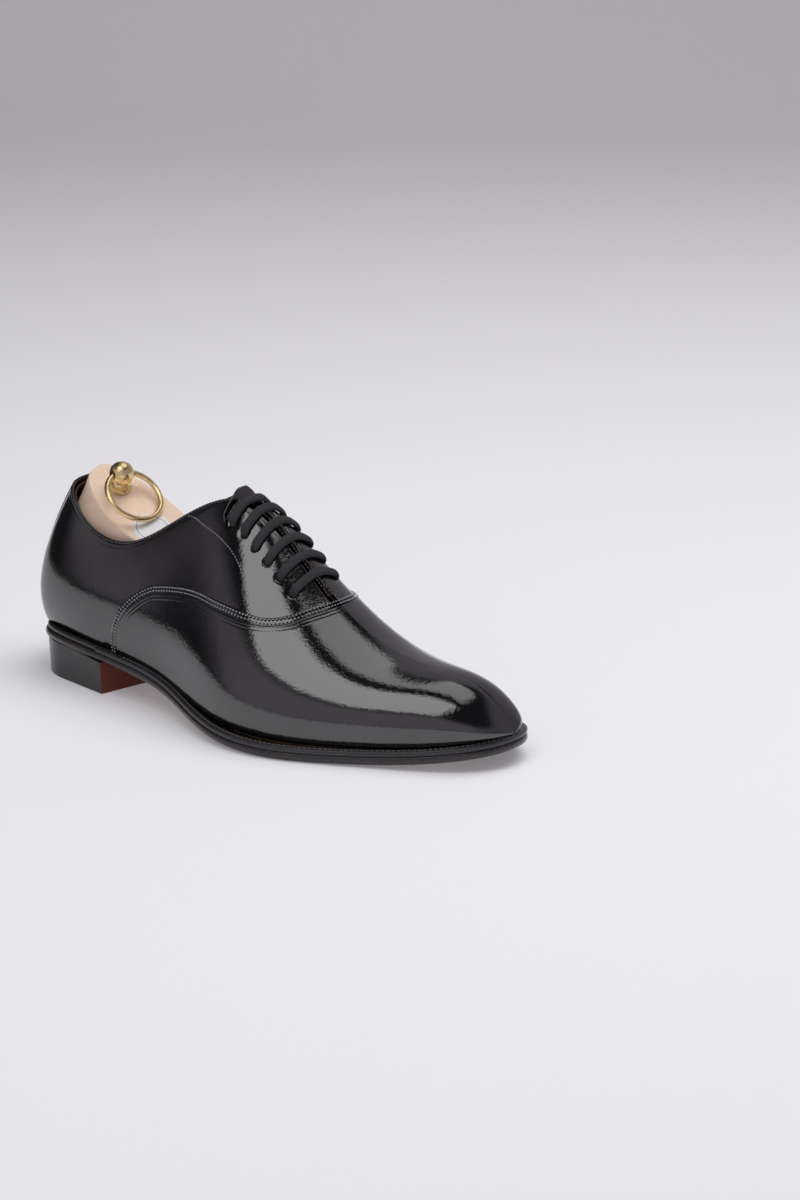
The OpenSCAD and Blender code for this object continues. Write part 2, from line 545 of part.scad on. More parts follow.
place() vamp();
place() quarter_lateral();
place() quarter_medial();
place() back_strip();
place() topline_binding();
place() tongue();
place() lace();
place() vamp_lining();
place() quarter_lining_lateral();
place() quarter_lining_medial();
place() heel_counter();
place() toe_puff();
place() facing_stay_lateral();
place() facing_stay_medial();
place() insole();
place() sock_liner();
place() cork_filler();
place() shank();
place() welt();
place() heel_rand();
place() outsole();
place() heel_lift_1();
place() heel_lift_2();
place() heel_lift_3();
place() top_piece();
place() top_piece_insert();
place() heel_nails();
place() tree_forepart();
place() tree_heel_block();
place() tree_leaf_front();
place() tree_leaf_rear();
place() tree_hinge_pin();
place() tree_knob();
place() tree_knob_screw();
place() tree_label();
place() pull_ring();
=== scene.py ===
"""Looks of a patent lace-up oxford, kept on a hinged beech shoe tree.

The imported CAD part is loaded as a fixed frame. Each soft or finely shaped piece is then made
again as a dense mesh in the same place, dressed with its own procedural finish and fastened to
the CAD body it moves with. X runs heel to toe, -Y is the outer side, Z is up, all in metres.
"""

import logging
import math
from dataclasses import dataclass, field
from enum import Enum
from typing import Iterable, Optional, Sequence, Union

import bmesh
import bpy
import numpy as np
from mathutils import Matrix, Vector
from mathutils.kdtree import KDTree


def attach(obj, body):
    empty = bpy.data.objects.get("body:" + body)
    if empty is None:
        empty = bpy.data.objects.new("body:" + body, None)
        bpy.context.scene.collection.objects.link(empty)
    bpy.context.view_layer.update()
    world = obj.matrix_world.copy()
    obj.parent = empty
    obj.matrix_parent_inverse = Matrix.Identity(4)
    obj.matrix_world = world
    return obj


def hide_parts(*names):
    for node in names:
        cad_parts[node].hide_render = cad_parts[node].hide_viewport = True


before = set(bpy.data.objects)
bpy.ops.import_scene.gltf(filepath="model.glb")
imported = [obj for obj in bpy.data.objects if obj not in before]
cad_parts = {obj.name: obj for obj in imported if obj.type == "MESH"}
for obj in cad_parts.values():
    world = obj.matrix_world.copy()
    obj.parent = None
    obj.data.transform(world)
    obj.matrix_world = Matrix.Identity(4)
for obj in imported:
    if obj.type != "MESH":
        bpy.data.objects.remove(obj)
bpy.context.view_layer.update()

MM = 0.001
log = logging.getLogger("oxford")
Array = np.ndarray
Socket = bpy.types.NodeSocket
Value = Union[Socket, float]


class Side(Enum):
    """The two sides of the shoe; the value is the sign of Y."""

    OUTER = -1
    INNER = 1


class Line(Enum):
    """The control lines of the last, from the top edge down to the ground."""

    RIDGE = 0
    SHOULDER = 1
    BULGE = 2
    FEATHER = 3
    EDGE = 4


class Body(Enum):
    """The moving bodies of the frame."""

    SHOE = "shoe"
    TREE = "tree_heel"
    RING = "ring"


def unit(a: Array) -> Array:
    """Vectors of length one, along the last axis."""
    return a / np.maximum(np.linalg.norm(a, axis=-1, keepdims=True), 1e-12)


def smooth_table(x: Array, table: Sequence[tuple[float, float]]) -> Array:
    """Values of a smooth monotone curve through a few (x, y) points.

    Args:
        x: where to read the curve.
        table: its points, in rising x.

    Returns:
        The y values, held constant beyond both ends.
    """
    tx = np.array([p[0] for p in table])
    ty = np.array([p[1] for p in table])
    h = np.diff(tx)
    s = np.diff(ty) / h
    m = np.zeros(len(tx))
    for i in range(1, len(tx) - 1):
        if s[i - 1] * s[i] > 0:
            w1, w2 = 2 * h[i] + h[i - 1], h[i] + 2 * h[i - 1]
            m[i] = (w1 + w2) / (w1 / s[i - 1] + w2 / s[i])
    m[0], m[-1] = s[0], s[-1]
    x = np.clip(np.asarray(x, float), tx[0], tx[-1])
    i = np.clip(np.searchsorted(tx, x, side="right") - 1, 0, len(h) - 1)
    t = (x - tx[i]) / h[i]
    t2, t3 = t * t, t * t * t
    return ((2 * t3 - 3 * t2 + 1) * ty[i] + (t3 - 2 * t2 + t) * h[i] * m[i]
            + (3 * t2 - 2 * t3) * ty[i + 1] + (t3 - t2) * h[i] * m[i + 1])


@dataclass(frozen=True)
class Last:
    """The form the upper is pulled over: stations from heel to toe, in millimetres."""

    feather_x: tuple = (4, 5, 18, 48, 78, 108, 138, 168, 198, 228, 254, 276, 290, 296)
    feather_z: tuple = (26.5, 26.5, 26.5, 26, 22.5, 18.5, 12, 8.5, 7, 7.5, 9, 12.5, 15, 16)
    feather_out: tuple = (2, -19, -25, -33, -33, -36, -48, -57.5, -54, -41, -29, -19, -7, 7)
    feather_in: tuple = (2, 20.5, 30, 29, 24, 22, 26, 32, 39, 41, 37, 29.5, 20.5, 7)
    ridge_x: tuple = (21, 21, 28, 49, 78, 108, 138, 168, 198, 228, 254, 276, 292, 296)
    ridge_z: tuple = (102.5, 102, 95, 78.5, 76.5, 102.5, 113.5, 87.5, 59.5, 44, 41, 38.5, 22, 16)
    ridge_mid: tuple = (1.5, 1, 0, -1, -1, 0, 1.5, 0, -1.5, -0.5, 2.5, 5, 6.5, 7)
    ridge_gap: tuple = (0, 11, 20, 23, 22, 11, 2, 0, 0, 0, 0, 0, 0, 0)
    shoulder_x: tuple = (9, 11, 24, 49, 78, 108, 138, 168, 198, 228, 254, 276, 292, 296)
    shoulder_z: tuple = (85, 84.5, 79.5, 72.5, 74, 91, 109, 87.5, 58.5, 42, 41.5, 40, 22, 16)
    shoulder_out: tuple = (0, 13.5, 23, 27, 27, 23, 20, 22, 24, 23, 19, 14, 7, 0)
    shoulder_in: tuple = (0, 17, 25, 25, 23, 22, 23, 26, 25.5, 21.5, 18.5, 12, 7, 0)
    bulge_x: tuple = (-7, -4, 14, 46, 78, 108, 138, 168, 198, 228, 254, 278, 296, 296)
    bulge_z: tuple = (51.5, 51.5, 50.5, 50, 48, 46.5, 45, 42, 36.5, 31, 28, 25.5, 21.5, 16)
    bulge_out: tuple = (2, -24.5, -37, -40, -41.5, -45.5, -58, -68, -64.5, -51.5, -39, -28, -17, 7)
    bulge_in: tuple = (2, 28, 40, 38, 34, 34, 38, 44, 49, 50, 44, 34, 22, 7)
    edge_x: tuple = (1.5, 7.5, 18.5, 48, 78, 108, 138, 168, 198, 228, 256, 280, 294, 299)
    edge_out: tuple = (2, -21, -30, -37, -37, -39, -53, -64.5, -61.5, -47.5, -34, -22, -8, 7)
    edge_in: tuple = (2, 20, 31, 31, 25, 25, 30, 37.5, 45, 47, 43, 35, 24, 7)
    seam_table: tuple = ((3.85, 1), (3.95, 0.81), (4.1, 0.7), (4.25, 0.635), (4.5, 0.575), (4.75, 0.55),
                         (5.4, 0.555), (6.1, 0.56), (6.7, 0.535), (7.2, 0.48), (7.6, 0.365),
                         (7.8, 0.22), (7.9, 0.08), (7.92, 0))

    @property
    def end(self) -> float:
        """The station number of the toe tip."""
        return len(self.feather_x) - 1.0

    def rows(self, line: Line, side: Side) -> Array:
        """Control points of one line on one side.

        Args:
            line: which control line.
            side: which side.

        Returns:
            An array of stations by 3, in millimetres.
        """
        s = side.value
        out = side is Side.OUTER
        if line is Line.RIDGE:
            y = np.array(self.ridge_mid) + s * np.array(self.ridge_gap)
            cols = (self.ridge_x, y, self.ridge_z)
        elif line is Line.SHOULDER:
            y = np.array(self.ridge_mid) + s * np.array(self.shoulder_out if out else self.shoulder_in)
            cols = (self.shoulder_x, y, self.shoulder_z)
        elif line is Line.BULGE:
            cols = (self.bulge_x, self.bulge_out if out else self.bulge_in, self.bulge_z)
        elif line is Line.FEATHER:
            cols = (self.feather_x, self.feather_out if out else self.feather_in, self.feather_z)
        else:
            cols = (self.edge_x, self.edge_out if out else self.edge_in, self.feather_z)
        return np.stack([np.asarray(c, float) for c in cols], 1)

    def spline(self, line: Line, side: Side, u: Array) -> Array:
        """Points of a control line at stations u, in millimetres, before the shift to the origin."""
        other = Side.INNER if side is Side.OUTER else Side.OUTER
        c, o = self.rows(line, side), self.rows(line, other)
        tip = np.array([c[-2, 0], 2 * c[-1, 1] - c[-2, 1], 2 * c[-1, 2] - c[-2, 2]])
        pts = np.vstack([o[1], c, tip])
        u = np.asarray(u, float)
        i = np.clip(np.floor(u).astype(int), 0, int(self.end) - 1)
        f = (u - i)[..., None]
        return ((1 - f) ** 3 * pts[i] + (3 * f ** 3 - 6 * f ** 2 + 4) * pts[i + 1]
                + (-3 * f ** 3 + 3 * f ** 2 + 3 * f + 1) * pts[i + 2] + f ** 3 * pts[i + 3]) / 6

    def raw(self, side: Side, u: Array, v: Array) -> Array:
        """Surface points in millimetres; v is 0 at the top edge and 1 at the feather line."""
        u, v = np.broadcast_arrays(np.asarray(u, float), np.asarray(v, float))
        w = 1 - v[..., None]
        v = v[..., None]
        ridge, shoulder, bulge, feather = (self.spline(line, side, u) for line in list(Line)[:4])
        return w ** 3 * ridge + 3 * w * w * v * shoulder + 3 * w * v * v * bulge + v ** 3 * feather

    def normal(self, side: Side, u: Array, v: Array) -> Array:
        """Outward unit normals of the surface."""
        e = 0.02
        u, v = np.broadcast_arrays(np.asarray(u, float), np.asarray(v, float))
        u = np.minimum(u, self.end - 0.06)
        ua, ub = np.maximum(u - e, 0), np.minimum(u + e, self.end - 0.005)
        va, vb = np.maximum(v - e, 0), np.minimum(v + e, 1)
        along = self.raw(side, ub, v) - self.raw(side, ua, v)
        down = self.raw(side, u, vb) - self.raw(side, u, va)
        n = np.cross(along, down)
        return unit(side.value * n)

    def middle(self) -> Array:
        """The row's origin: middle of the shoe's length and of the sole's width, in millimetres."""
        u = np.concatenate([np.linspace(0.06, 3.4, 21), np.linspace(3.4, 12, 21), [12.3, 12.6, 12.8, 12.94]])
        p = np.vstack([self.spline(Line.EDGE, s, u)[:, :2] for s in Side])
        back = self.raw(Side.INNER, np.array(0.0), np.array(0.78))[0] - 1.0
        return np.array([(back + p[:, 0].max()) / 2, (p[:, 1].min() + p[:, 1].max()) / 2, 0.0])

    def point(self, side: Side, u: Array, v: Array, lift: Array = 0.0) -> Array:
        """Points in metres, lifted off the surface along its normal by lift millimetres."""
        lift = np.asarray(lift, float)
        p = self.raw(side, u, v) + lift[..., None] * self.normal(side, u, v)
        return (p - self.middle()) * MM

    def seam(self, u: Array) -> Array:
        """Height of the vamp seam across the side, as v."""
        return smooth_table(u, self.seam_table)

    def facing(self, side: Side, u: Array) -> Array:
        """The facing edge beside the tongue, as v."""
        wide = 0.05 if side is Side.OUTER else 0.02
        return smooth_table(u, ((5.8, 0.0), (6.1, wide), (7.8, wide + 0.005)))

    def step(self, side: Side, u: Array, v: Array, across: Array) -> tuple[Array, Array]:
        """Surface coordinates moved by a small distance at right angles to a curve.

        Args:
            side: the side the curve lies on.
            u: its stations.
            v: its heights.
            across: how far to move, in millimetres, to the right of its direction seen from outside.

        Returns:
            The moved u and v.
        """
        e = 0.01
        p = self.raw(side, u, v)
        su = (self.raw(side, np.minimum(u + e, self.end - 0.01), v) - p) / e
        vb = np.where(v < 0.5, v + e, v - e)
        sv = (self.raw(side, u, vb) - p) / (vb - v)[:, None]
        t = unit(np.gradient(p, axis=0))
        b = unit(np.cross(t, self.normal(side, u, v))) * np.broadcast_to(across, u.shape)[:, None]
        uu, uv, vv = (su * su).sum(1), (su * sv).sum(1), (sv * sv).sum(1)
        bu, bv = (b * su).sum(1), (b * sv).sum(1)
        det = np.maximum(uu * vv - uv * uv, 1e-9)
        return (np.clip(u + (bu * vv - bv * uv) / det, 0, self.end - 0.02),
                np.clip(v + (bv * uu - bu * uv) / det, 0, 1))


LAST = Last()


# ---------------------------------------------------------------- meshes

def add_mesh(name: str, verts: Array, faces: Iterable[Sequence[int]], smooth: bool = True,
             layers: Optional[dict[str, Array]] = None) -> bpy.types.Object:
    """Makes a mesh object from points and faces.

    Args:
        name: the piece's name.
        verts: points in metres.
        faces: index lists.
        smooth: whether it is shaded smooth.
        layers: number per point, by attribute name.

    Returns:
        The linked object.
    """
    me = bpy.data.meshes.new(name)
    me.from_pydata(np.asarray(verts).reshape(-1, 3).tolist(), [], [list(map(int, f)) for f in faces])
    for key, values in (layers or {}).items():
        layer = me.attributes.new(key, "FLOAT", "POINT")
        layer.data.foreach_set("value", np.asarray(values, np.float32).ravel())
    me.update()
    obj = bpy.data.objects.new(name, me)
    bpy.context.scene.collection.objects.link(obj)
    me.shade_smooth() if smooth else me.shade_flat()
    return obj


def runs(*parts: tuple[float, float, int]) -> Array:
    """Evenly spread values over several runs, each given as first, last and number."""
    return np.concatenate([np.linspace(*part) for part in parts])


def between(rows: Array, index: Array) -> Array:
    """The rows at fractional indices."""
    steps = np.arange(len(rows))
    return np.stack([np.interp(index, steps, rows[:, c]) for c in range(rows.shape[1])], 1)


def quads(n: int, m: int, wrap: bool = False, start: int = 0) -> list[tuple[int, int, int, int]]:
    """Faces of a grid of n rows by m points, wrapped across the row if asked."""
    cols = range(m if wrap else m - 1)
    rows = [start + i * m for i in range(n - 1)]
    return [(a + j, a + (j + 1) % m, a + m + (j + 1) % m, a + m + j) for a in rows for j in cols]


def tidy(obj: bpy.types.Object, merge: float = 1e-6) -> bpy.types.Object:
    """Merges doubled points and turns all faces outwards."""
    bm = bmesh.new()
    bm.from_mesh(obj.data)
    bmesh.ops.remove_doubles(bm, verts=bm.verts, dist=merge)
    bmesh.ops.dissolve_degenerate(bm, edges=bm.edges, dist=1e-7)
    bmesh.ops.recalc_face_normals(bm, faces=bm.faces)
    bm.to_mesh(obj.data)
    bm.free()
    return obj


def crease_by_angle(obj: bpy.types.Object, degrees: float = 35.0) -> None:
    """Keeps edges sharper than the angle crisp while the rest is shaded smooth."""
    obj.data.shade_smooth()
    bm = bmesh.new()
    bm.from_mesh(obj.data)
    for e in bm.edges:
        if len(e.link_faces) == 2 and e.calc_face_angle(0) > math.radians(degrees):
            e.smooth = False
    bm.to_mesh(obj.data)
    bm.free()


def shell(name: str, outer: Array, inner: Array,
          layers: Optional[dict[str, Array]] = None) -> bpy.types.Object:
    """A closed leather panel from its outer and inner grids.

    Args:
        name: the piece's name.
        outer: rows by columns by 3.
        inner: the same shape.
        layers: number per outer grid point, by attribute name.

    Returns:
        The object.
    """
    n, m = outer.shape[:2]
    k = n * m
    faces = quads(n, m)
    faces += [(k + d, k + c, k + b, k + a) for a, b, c, d in quads(n, m)]
    ring = ([i * m for i in range(n)] + [(n - 1) * m + j for j in range(1, m)]
            + [i * m + m - 1 for i in range(n - 2, -1, -1)] + [j for j in range(m - 2, 0, -1)])
    faces += [(a, b, b + k, a + k) for a, b in zip(ring, ring[1:] + ring[:1])]
    lay = {key: np.concatenate([np.ravel(v), np.ravel(v)]) for key, v in (layers or {}).items()}
    obj = add_mesh(name, np.concatenate([outer.reshape(-1, 3), inner.reshape(-1, 3)]), faces, layers=lay)
    return tidy(obj)


def frames_along(path: Array, hint: Array) -> tuple[Array, Array]:
    """Two unit vectors across a path: the second leans towards the hint."""
    t = unit(np.gradient(path, axis=0))
    a = unit(np.cross(t, hint))
    return a, unit(np.cross(a, t))


def tube(name: str, path: Array, radius: float, hint: Array, flat: float = 1.0, sides: int = 16,
         layers: bool = False) -> bpy.types.Object:
    """A round or flattened cord along a path, closed at both ends.

    Args:
        name: the piece's name.
        path: its centre line.
        radius: half its width.
        hint: vectors its height follows.
        flat: height over width.
        sides: points round it.
        layers: whether it carries the attributes "along" (millimetres) and "around" (turns).

    Returns:
        The object.
    """
    a, b = frames_along(path, hint)
    ang = np.linspace(0, 2 * np.pi, sides, endpoint=False)
    ring = (path[:, None] + radius * (np.cos(ang)[None, :, None] * a[:, None]
                                      + flat * np.sin(ang)[None, :, None] * b[:, None]))
    n = len(path)
    faces = quads(n, sides, wrap=True)
    faces += [tuple(range(sides - 1, -1, -1)), tuple((n - 1) * sides + j for j in range(sides))]
    lay = None
    if layers:
        run = np.r_[0, np.cumsum(np.linalg.norm(np.diff(path, axis=0), axis=1))] / MM
        lay = {"along": np.repeat(run, sides), "around": np.tile(np.abs(ang / np.pi - 1), n)}
    obj = add_mesh(name, ring.reshape(-1, 3), faces, layers=lay)
    bm = bmesh.new()
    bm.from_mesh(obj.data)
    bmesh.ops.recalc_face_normals(bm, faces=bm.faces)
    bm.to_mesh(obj.data)
    bm.free()
    return obj


def even(path: Array, pitch: float) -> Array:
    """The points of a path again, evenly spaced at about the pitch, as fractional indices."""
    run = np.r_[0, np.cumsum(np.linalg.norm(np.diff(path, axis=0), axis=1))]
    n = max(int(round(run[-1] / pitch)), 2)
    return np.interp(np.linspace(0, run[-1], n + 1), run, np.arange(len(path)))


def stitches(name: str, curves: Sequence[tuple[Array, Array]], pitch: float = 2.1, thread: float = 0.26,
             fill: float = 0.8) -> bpy.types.Object:
    """A mesh of single stitches along surface curves.

    Args:
        name: the piece's name.
        curves: pairs of points (metres) and normals.
        pitch: stitch length with its gap, in millimetres.
        thread: radius of the thread, in millimetres.
        fill: part of the pitch that the thread shows.

    Returns:
        The object.
    """
    sides, rings = 6, 6
    verts, faces = [], []
    ang = np.linspace(0, 2 * np.pi, sides, endpoint=False)
    t = np.linspace(-1, 1, rings)
    swell = np.sqrt(np.clip(1 - (np.abs(t) * 0.97) ** 3, 0.02, 1))
    for pts, nrm in curves:
        idx = even(pts, pitch * MM)
        grid = np.arange(len(pts))
        p = np.stack([np.interp(idx, grid, pts[:, k]) for k in range(3)], 1)
        q = unit(np.stack([np.interp(idx, grid, nrm[:, k]) for k in range(3)], 1))
        for a, b, na, nb in zip(p[:-1], p[1:], q[:-1], q[1:]):
            mid, d, n = (a + b) / 2, (b - a) / 2 * fill, unit(na + nb)
            side = unit(np.cross(unit(d), n))
            base = sum(len(v) for v in verts)
            c = mid + t[:, None] * d + n * (thread * MM * (0.75 * swell - 0.45))[:, None]
            ring = c[:, None] + thread * MM * swell[:, None, None] * (
                np.cos(ang)[None, :, None] * side + np.sin(ang)[None, :, None] * n)
            verts.append(ring.reshape(-1, 3))
            faces += quads(rings, sides, wrap=True, start=base)
            faces += [tuple(base + j for j in range(sides - 1, -1, -1)),
                      tuple(base + (rings - 1) * sides + j for j in range(sides))]
    return add_mesh(name, np.concatenate(verts), faces)


def distance_to(points: Array, curve: Array) -> Array:
    """Distance of each point to the nearest of a dense curve's points, in millimetres."""
    tree = KDTree(len(curve))
    for i, c in enumerate(curve):
        tree.insert(c, i)
    tree.balance()
    flat = points.reshape(-1, 3)
    return np.array([tree.find(p)[2] for p in flat]).reshape(points.shape[:-1]) / MM


# ---------------------------------------------------------------- finishes

class Nodes:
    """A short hand for building one material's node tree."""

    def __init__(self, name: str) -> None:
        """Starts an empty material with a Principled shader."""
        self.mat = bpy.data.materials.new(name)
        self.mat.use_nodes = True
        self.tree = self.mat.node_tree
        self.shader = self.tree.nodes["Principled BSDF"]
        self._height: Optional[Socket] = None

    def add(self, kind: str, **props: object) -> bpy.types.Node:
        """A new node with the given properties."""
        node = self.tree.nodes.new(kind)
        for key, value in props.items():
            setattr(node, key, value)
        return node

    def link(self, a: Socket, b: Socket) -> None:
        """Joins an output to an input."""
        self.tree.links.new(a, b)

    def set(self, **values: object) -> None:
        """Sets uniform values on the shader's own sockets; underscores stand for spaces."""
        for key, value in values.items():
            self.shader.inputs[key.replace("_", " ")].default_value = value

    def place(self, scale: Sequence[float] = (1, 1, 1), turn: Sequence[float] = (0, 0, 0)) -> Socket:
        """Object coordinates, scaled and turned."""
        coords = self.add("ShaderNodeTexCoord")
        mapping = self.add("ShaderNodeMapping")
        mapping.inputs["Scale"].default_value = scale
        mapping.inputs["Rotation"].default_value = turn
        self.link(coords.outputs["Object"], mapping.inputs["Vector"])
        return mapping.outputs["Vector"]

    def noise(self, size_mm: float, detail: float = 3.0, rough: float = 0.5,
              at: Optional[Socket] = None, distortion: float = 0.0) -> Socket:
        """Noise whose features are about size_mm across."""
        node = self.add("ShaderNodeTexNoise")
        node.inputs["Scale"].default_value = 1.0 / (size_mm * MM)
        node.inputs["Detail"].default_value = detail
        node.inputs["Roughness"].default_value = rough
        node.inputs["Distortion"].default_value = distortion
        self.link(at or self.place(), node.inputs["Vector"])
        return node.outputs["Fac"]

    def number(self, name: str) -> Socket:
        """The value of a mesh attribute."""
        return self.add("ShaderNodeAttribute", attribute_name=name).outputs["Fac"]

    def math(self, op: str, a: object, b: object = 0.0, c: object = 0.0) -> Socket:
        """One math step on sockets or numbers."""
        node = self.add("ShaderNodeMath", operation=op)
        for socket, value in zip(node.inputs, (a, b, c)):
            if isinstance(value, Socket):
                self.link(value, socket)
            else:
                socket.default_value = value
        return node.outputs[0]

    def bell(self, value: Socket, centre: float, width: float) -> Socket:
        """A smooth hump of height one where value is near the centre."""
        x = self.math("DIVIDE", self.math("SUBTRACT", value, centre), width)
        return self.math("POWER", math.e, self.math("MULTIPLY", self.math("MULTIPLY", x, x), -1.0))

    def ramp(self, fac: Socket, stops: Sequence[tuple[float, tuple]]) -> Socket:
        """A colour ramp; stops are (place, colour)."""
        node = self.add("ShaderNodeValToRGB")
        el = node.color_ramp.elements
        while len(el) < len(stops):
            el.new(0.5)
        for e, (pos, col) in zip(el, stops):
            e.position, e.color = pos, (*col, 1.0)
        self.link(fac, node.inputs["Fac"])
        return node.outputs["Color"]

    def range(self, fac: Socket, low: float, high: float,
              start: float = 0.0, stop: float = 1.0) -> Socket:
        """fac from start..stop brought to low..high."""
        node = self.add("ShaderNodeMapRange")
        for key, value in (("From Min", start), ("From Max", stop), ("To Min", low), ("To Max", high)):
            node.inputs[key].default_value = value
        self.link(fac, node.inputs["Value"])
        return node.outputs["Result"]

    def raise_by(self, height: Socket, mm: float) -> None:
        """Adds a height, in millimetres, to the surface relief."""
        part = self.math("MULTIPLY", height, mm * MM)
        self._height = part if self._height is None else self.math("ADD", self._height, part)

    def finish(self, strength: float = 1.0) -> bpy.types.Material:
        """Joins the relief to the shader and returns the material."""
        if self._height is not None:
            bump = self.add("ShaderNodeBump")
            bump.inputs["Strength"].default_value = strength
            bump.inputs["Distance"].default_value = 1.0
            self.link(self._height, bump.inputs["Height"])
            self.link(bump.outputs["Normal"], self.shader.inputs["Normal"])
        return self.mat


@dataclass(frozen=True)
class PatentFinish:
    """Lacquered leather: a black base under a clear glossy film with a faint orange peel."""

    name: str
    base: tuple = (0.004, 0.004, 0.0045)
    film: float = 0.05
    gloss: float = 1.95
    peel_mm: float = 1.7
    peel_height: float = 0.075
    fine_mm: float = 0.6
    fine_height: float = 0.012
    wave_mm: float = 12.0
    wave_height: float = 0.12
    ridges: tuple = ()

    def build(self) -> bpy.types.Material:
        """The material; each ridge is (attribute, distance mm, width mm, height mm)."""
        n = Nodes(self.name)
        n.set(Roughness=self.film, IOR=self.gloss)
        deep, pale = (tuple(c * k for c in self.base) for k in (0.7, 1.4))
        n.link(n.ramp(n.noise(14, 4), ((0.3, deep), (0.75, pale))), n.shader.inputs["Base Color"])
        n.link(n.range(n.noise(5, 3), self.film * 0.7, self.film * 1.5), n.shader.inputs["Roughness"])
        n.raise_by(n.noise(self.peel_mm, 3, 0.6), self.peel_height)
        n.raise_by(n.noise(self.fine_mm, 2), self.fine_height)
        n.raise_by(n.noise(self.wave_mm, 1, 0.4), self.wave_height)
        for attribute, centre, width, height in self.ridges:
            n.raise_by(n.bell(n.number(attribute), centre, width), height)
        return n.finish()


@dataclass(frozen=True)
class GrainLeather:
    """Plain leather: two tones and fine pores."""

    name: str
    dark: tuple
    light: tuple
    rough: float = 0.55
    pore_mm: float = 0.5
    pore_height: float = 0.03

    def build(self) -> bpy.types.Material:
        """The material."""
        n = Nodes(self.name)
        tone = n.ramp(n.noise(6, 5, 0.6), ((0.3, self.dark), (0.7, self.light)))
        n.link(tone, n.shader.inputs["Base Color"])
        rough = n.range(n.noise(2, 3), self.rough * 0.85, min(self.rough * 1.2, 1))
        n.link(rough, n.shader.inputs["Roughness"])
        n.raise_by(n.noise(self.pore_mm, 4, 0.6), self.pore_height)
        return n.finish()


@dataclass(frozen=True)
class StackLeather:
    """Cut edges of sole leather: fine level fibres, dyed and polished."""

    name: str
    dark: tuple
    light: tuple
    rough: float = 0.3
    fibre_mm: float = 0.35
    height: float = 0.02

    def build(self) -> bpy.types.Material:
        """The material."""
        n = Nodes(self.name)
        at = n.place((0.12, 0.12, 1.0))
        fibre = n.noise(self.fibre_mm, 4, 0.65, at)
        n.link(n.ramp(fibre, ((0.3, self.dark), (0.72, self.light))), n.shader.inputs["Base Color"])
        n.link(n.range(fibre, self.rough * 0.8, self.rough * 1.3), n.shader.inputs["Roughness"])
        n.raise_by(fibre, self.height)
        n.raise_by(n.noise(7, 2), 0.05)
        return n.finish()


@dataclass(frozen=True)
class WoodFinish:
    """Beech with fine flecks along the grain, sanded and waxed."""

    name: str
    dark: tuple = (0.78, 0.58, 0.43)
    light: tuple = (0.88, 0.70, 0.54)
    turn: tuple = (0.0, 0.35, 0.0)

    def build(self) -> bpy.types.Material:
        """The material."""
        n = Nodes(self.name)
        n.set(IOR=1.45)
        at = n.place((0.09, 1.0, 1.0), self.turn)
        grain = n.noise(2.2, 6, 0.62, at, 0.6)
        fleck = n.noise(0.5, 2, 0.5, n.place((0.25, 1.0, 1.0), self.turn))
        mixed = n.math("ADD", n.math("MULTIPLY", grain, 0.75), n.math("MULTIPLY", fleck, 0.25))
        n.link(n.ramp(mixed, ((0.32, self.dark), (0.66, self.light))), n.shader.inputs["Base Color"])
        n.link(n.range(grain, 0.42, 0.58), n.shader.inputs["Roughness"])
        n.raise_by(mixed, 0.03)
        return n.finish()


@dataclass(frozen=True)
class BrassFinish:
    """Brushed, slightly tarnished brass."""

    name: str
    bright: tuple = (0.96, 0.76, 0.42)
    tarnish: tuple = (0.80, 0.59, 0.28)
    rough: float = 0.24

    def build(self) -> bpy.types.Material:
        """The material."""
        n = Nodes(self.name)
        n.set(Metallic=1.0)
        tone = n.ramp(n.noise(3.2, 5, 0.6), ((0.3, self.tarnish), (0.62, self.bright)))
        n.link(tone, n.shader.inputs["Base Color"])
        scratch = n.noise(0.25, 3, 0.6, n.place((1.0, 1.0, 0.15)))
        n.link(n.range(scratch, self.rough * 0.8, self.rough * 1.5), n.shader.inputs["Roughness"])
        n.raise_by(scratch, 0.004)
        return n.finish()


@dataclass(frozen=True)
class WovenCord:
    """Round braided cotton lace: strands that cross both ways round the cord, with painted shade in the
    grooves between them.
    """

    name: str
    dark: tuple = (0.0015, 0.0015, 0.0017)
    light: tuple = (0.07, 0.07, 0.077)
    strand_mm: float = 0.8
    strands: float = 8.0

    def build(self) -> bpy.types.Material:
        """The material, reading the attributes along and around."""
        n = Nodes(self.name)
        n.set(Roughness=0.8, Specular_IOR_Level=0.3)
        along = n.math("DIVIDE", n.number("along"), self.strand_mm)
        around = n.math("MULTIPLY", n.number("around"), self.strands)
        one = n.math("SINE", n.math("MULTIPLY", n.math("ADD", along, around), math.pi))
        two = n.math("SINE", n.math("MULTIPLY", n.math("SUBTRACT", along, around), math.pi))
        weave = n.math("MULTIPLY", one, two)
        lift = n.range(weave, 0.0, 1.0, -1.0, 1.0)
        fluff = n.noise(0.3, 3)
        # painted shade and highlight: the colour follows the strands' height, darker in the grooves and
        # lighter on the raised strands
        n.link(n.ramp(n.math("ADD", n.math("MULTIPLY", lift, 0.8), n.math("MULTIPLY", fluff, 0.2)),
                      ((0.2, self.dark), (0.8, self.light))), n.shader.inputs["Base Color"])
        n.raise_by(lift, 0.16)
        n.raise_by(fluff, 0.05)
        return n.finish()


@dataclass(frozen=True)
class ThreadFinish:
    """Waxed sewing thread: dark thread whose lighter strands are a painted highlight."""

    name: str
    dark: tuple = (0.10, 0.10, 0.106)
    light: tuple = (0.5, 0.5, 0.52)

    def build(self) -> bpy.types.Material:
        """The material."""
        n = Nodes(self.name)
        ply = n.noise(0.18, 2)
        # painted highlight: the light end of the ramp stands in for gloss on the dark thread
        n.link(n.ramp(ply, ((0.3, self.dark), (0.7, self.light))), n.shader.inputs["Base Color"])
        n.link(n.range(ply, 0.3, 0.5), n.shader.inputs["Roughness"])
        n.raise_by(ply, 0.03)
        return n.finish()


